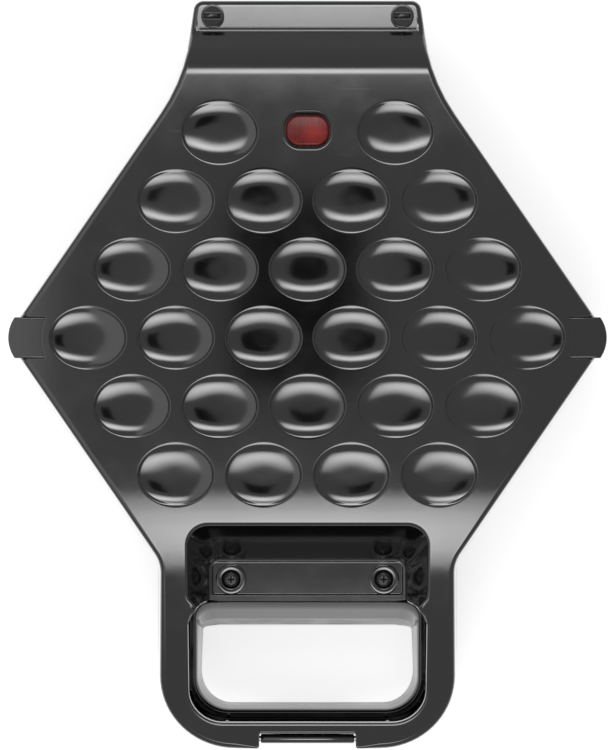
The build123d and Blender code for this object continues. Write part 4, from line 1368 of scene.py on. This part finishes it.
def white_rays(tree):
    """1 for camera, glossy and transmission rays."""
    path = add_node(tree, "LightPath")
    total = path.outputs["Is Camera Ray"]
    for name in ("Is Glossy Ray", "Is Transmission Ray"):
        total = maths(tree, "MAXIMUM", total, path.outputs[name])
    return total


def stage_plane(name, half_x, half_y, centre, material, seen):
    """A flat rectangle of the studio, and whether the camera sees it and it casts a shadow."""
    x, y, z = centre
    mesh = bpy.data.meshes.new(name)
    corners = [(x + half_x * u, y + half_y * v, z) for u, v in ((-1, -1), (1, -1), (1, 1), (-1, 1))]
    mesh.from_pydata(corners, [], [(0, 1, 2, 3)])
    mesh.materials.append(material)
    plane = linked(name, mesh)
    plane.visible_camera = seen
    plane.visible_shadow = seen


def make_floor_plane():
    """White floor that keeps the shadows, and mirrors darker far from the object."""
    material, tree = node_material("pale_floor")
    coords = add_node(tree, "TexCoord").outputs["Object"]
    span = add_node(tree, "VectorMath", coords, operation="LENGTH").outputs["Value"]
    fade = add_node(tree, "MapRange", span, 0.35, 3.0, 0.62, 0.3).outputs["Result"]
    emission_and_painted_highlight = maths(tree, "MULTIPLY", fade, white_rays(tree))
    shader = tree.nodes["Principled BSDF"]
    set_sockets(shader, base_color=(0.9, 0.9, 0.9, 1), roughness=0.9, specular_ior_level=0.0)
    set_sockets(shader, emission_color=(1, 1, 1, 1), emission_strength=emission_and_painted_highlight)
    stage_plane("floor", 6.0, 6.0, (0, 0, 0), material, True)


def make_card(name, half_x, half_y, centre, strength):
    """A flat glowing card over the object, which the camera doesn't see."""
    material, tree = node_material(name)
    tree.nodes.remove(tree.nodes["Principled BSDF"])
    emission_and_painted_highlight = add_node(tree, "Emission", strength=strength).outputs[0]
    set_sockets(tree.nodes["Material Output"], surface=emission_and_painted_highlight)
    stage_plane(name, half_x, half_y, centre, material, False)


def make_strip(name, y, width, softness, radiance):
    """Long softbox across the object, in front of it or behind it, that fades towards its edges."""
    data = bpy.data.lights.new(name, "AREA")
    data.shape = "RECTANGLE"
    data.size = strip_length
    data.size_y = width
    data.energy = radiance * pi * strip_length * width
    data.use_nodes = True
    tree = data.node_tree
    place_on_lamp = add_node(tree, "NewGeometry").outputs["Parametric"]
    axes = add_node(tree, "SeparateXYZ", place_on_lamp).outputs
    fades = []
    for axis, power in (("Y", softness), ("X", 0.3)):
        arch = maths(tree, "SINE", maths(tree, "MULTIPLY", axes[axis], pi))
        fades.append(maths(tree, "POWER", arch, power))
    set_sockets(tree.nodes["Emission"], strength=maths(tree, "MULTIPLY", *fades))
    lamp = linked(name, data)
    lamp.location = (0, y, strip_height)
    lamp.visible_camera = False


make_floor_plane()
make_card("overhead_panel", 1.3, 1.3, (0, 0, 1.35), 0.33)
make_card("camera_hood", 0.058, 0.088, (-0.008, 0.072, 1.02), 0.0)
make_card("left_panel", 0.5, 0.8, (-0.74, 0, 1.1), 0.8)
make_strip("front_strip", -0.345, 0.48, 0.8, 4.6)
make_strip("rear_strip", 0.395, 0.29, 1.2, 5.6)

world = bpy.data.worlds.new("studio")
world.use_nodes = True
bpy.context.scene.world = world
is_camera = add_node(world.node_tree, "LightPath").outputs["Is Camera Ray"]
sky = add_node(world.node_tree, "MapRange", is_camera, to_min=surroundings).outputs["Result"]
set_sockets(world.node_tree.nodes["Background"], color=(1, 1, 1, 1), strength=sky)

lens = bpy.data.cameras.new("camera")
lens.lens = 99.7
lens.sensor_width = 36
lens.clip_start = 0.01
camera = linked("camera", lens)
camera.location = (-0.00087, 0, 0.990)
bpy.context.scene.camera = camera
bpy.context.scene.view_settings.view_transform = "Standard"
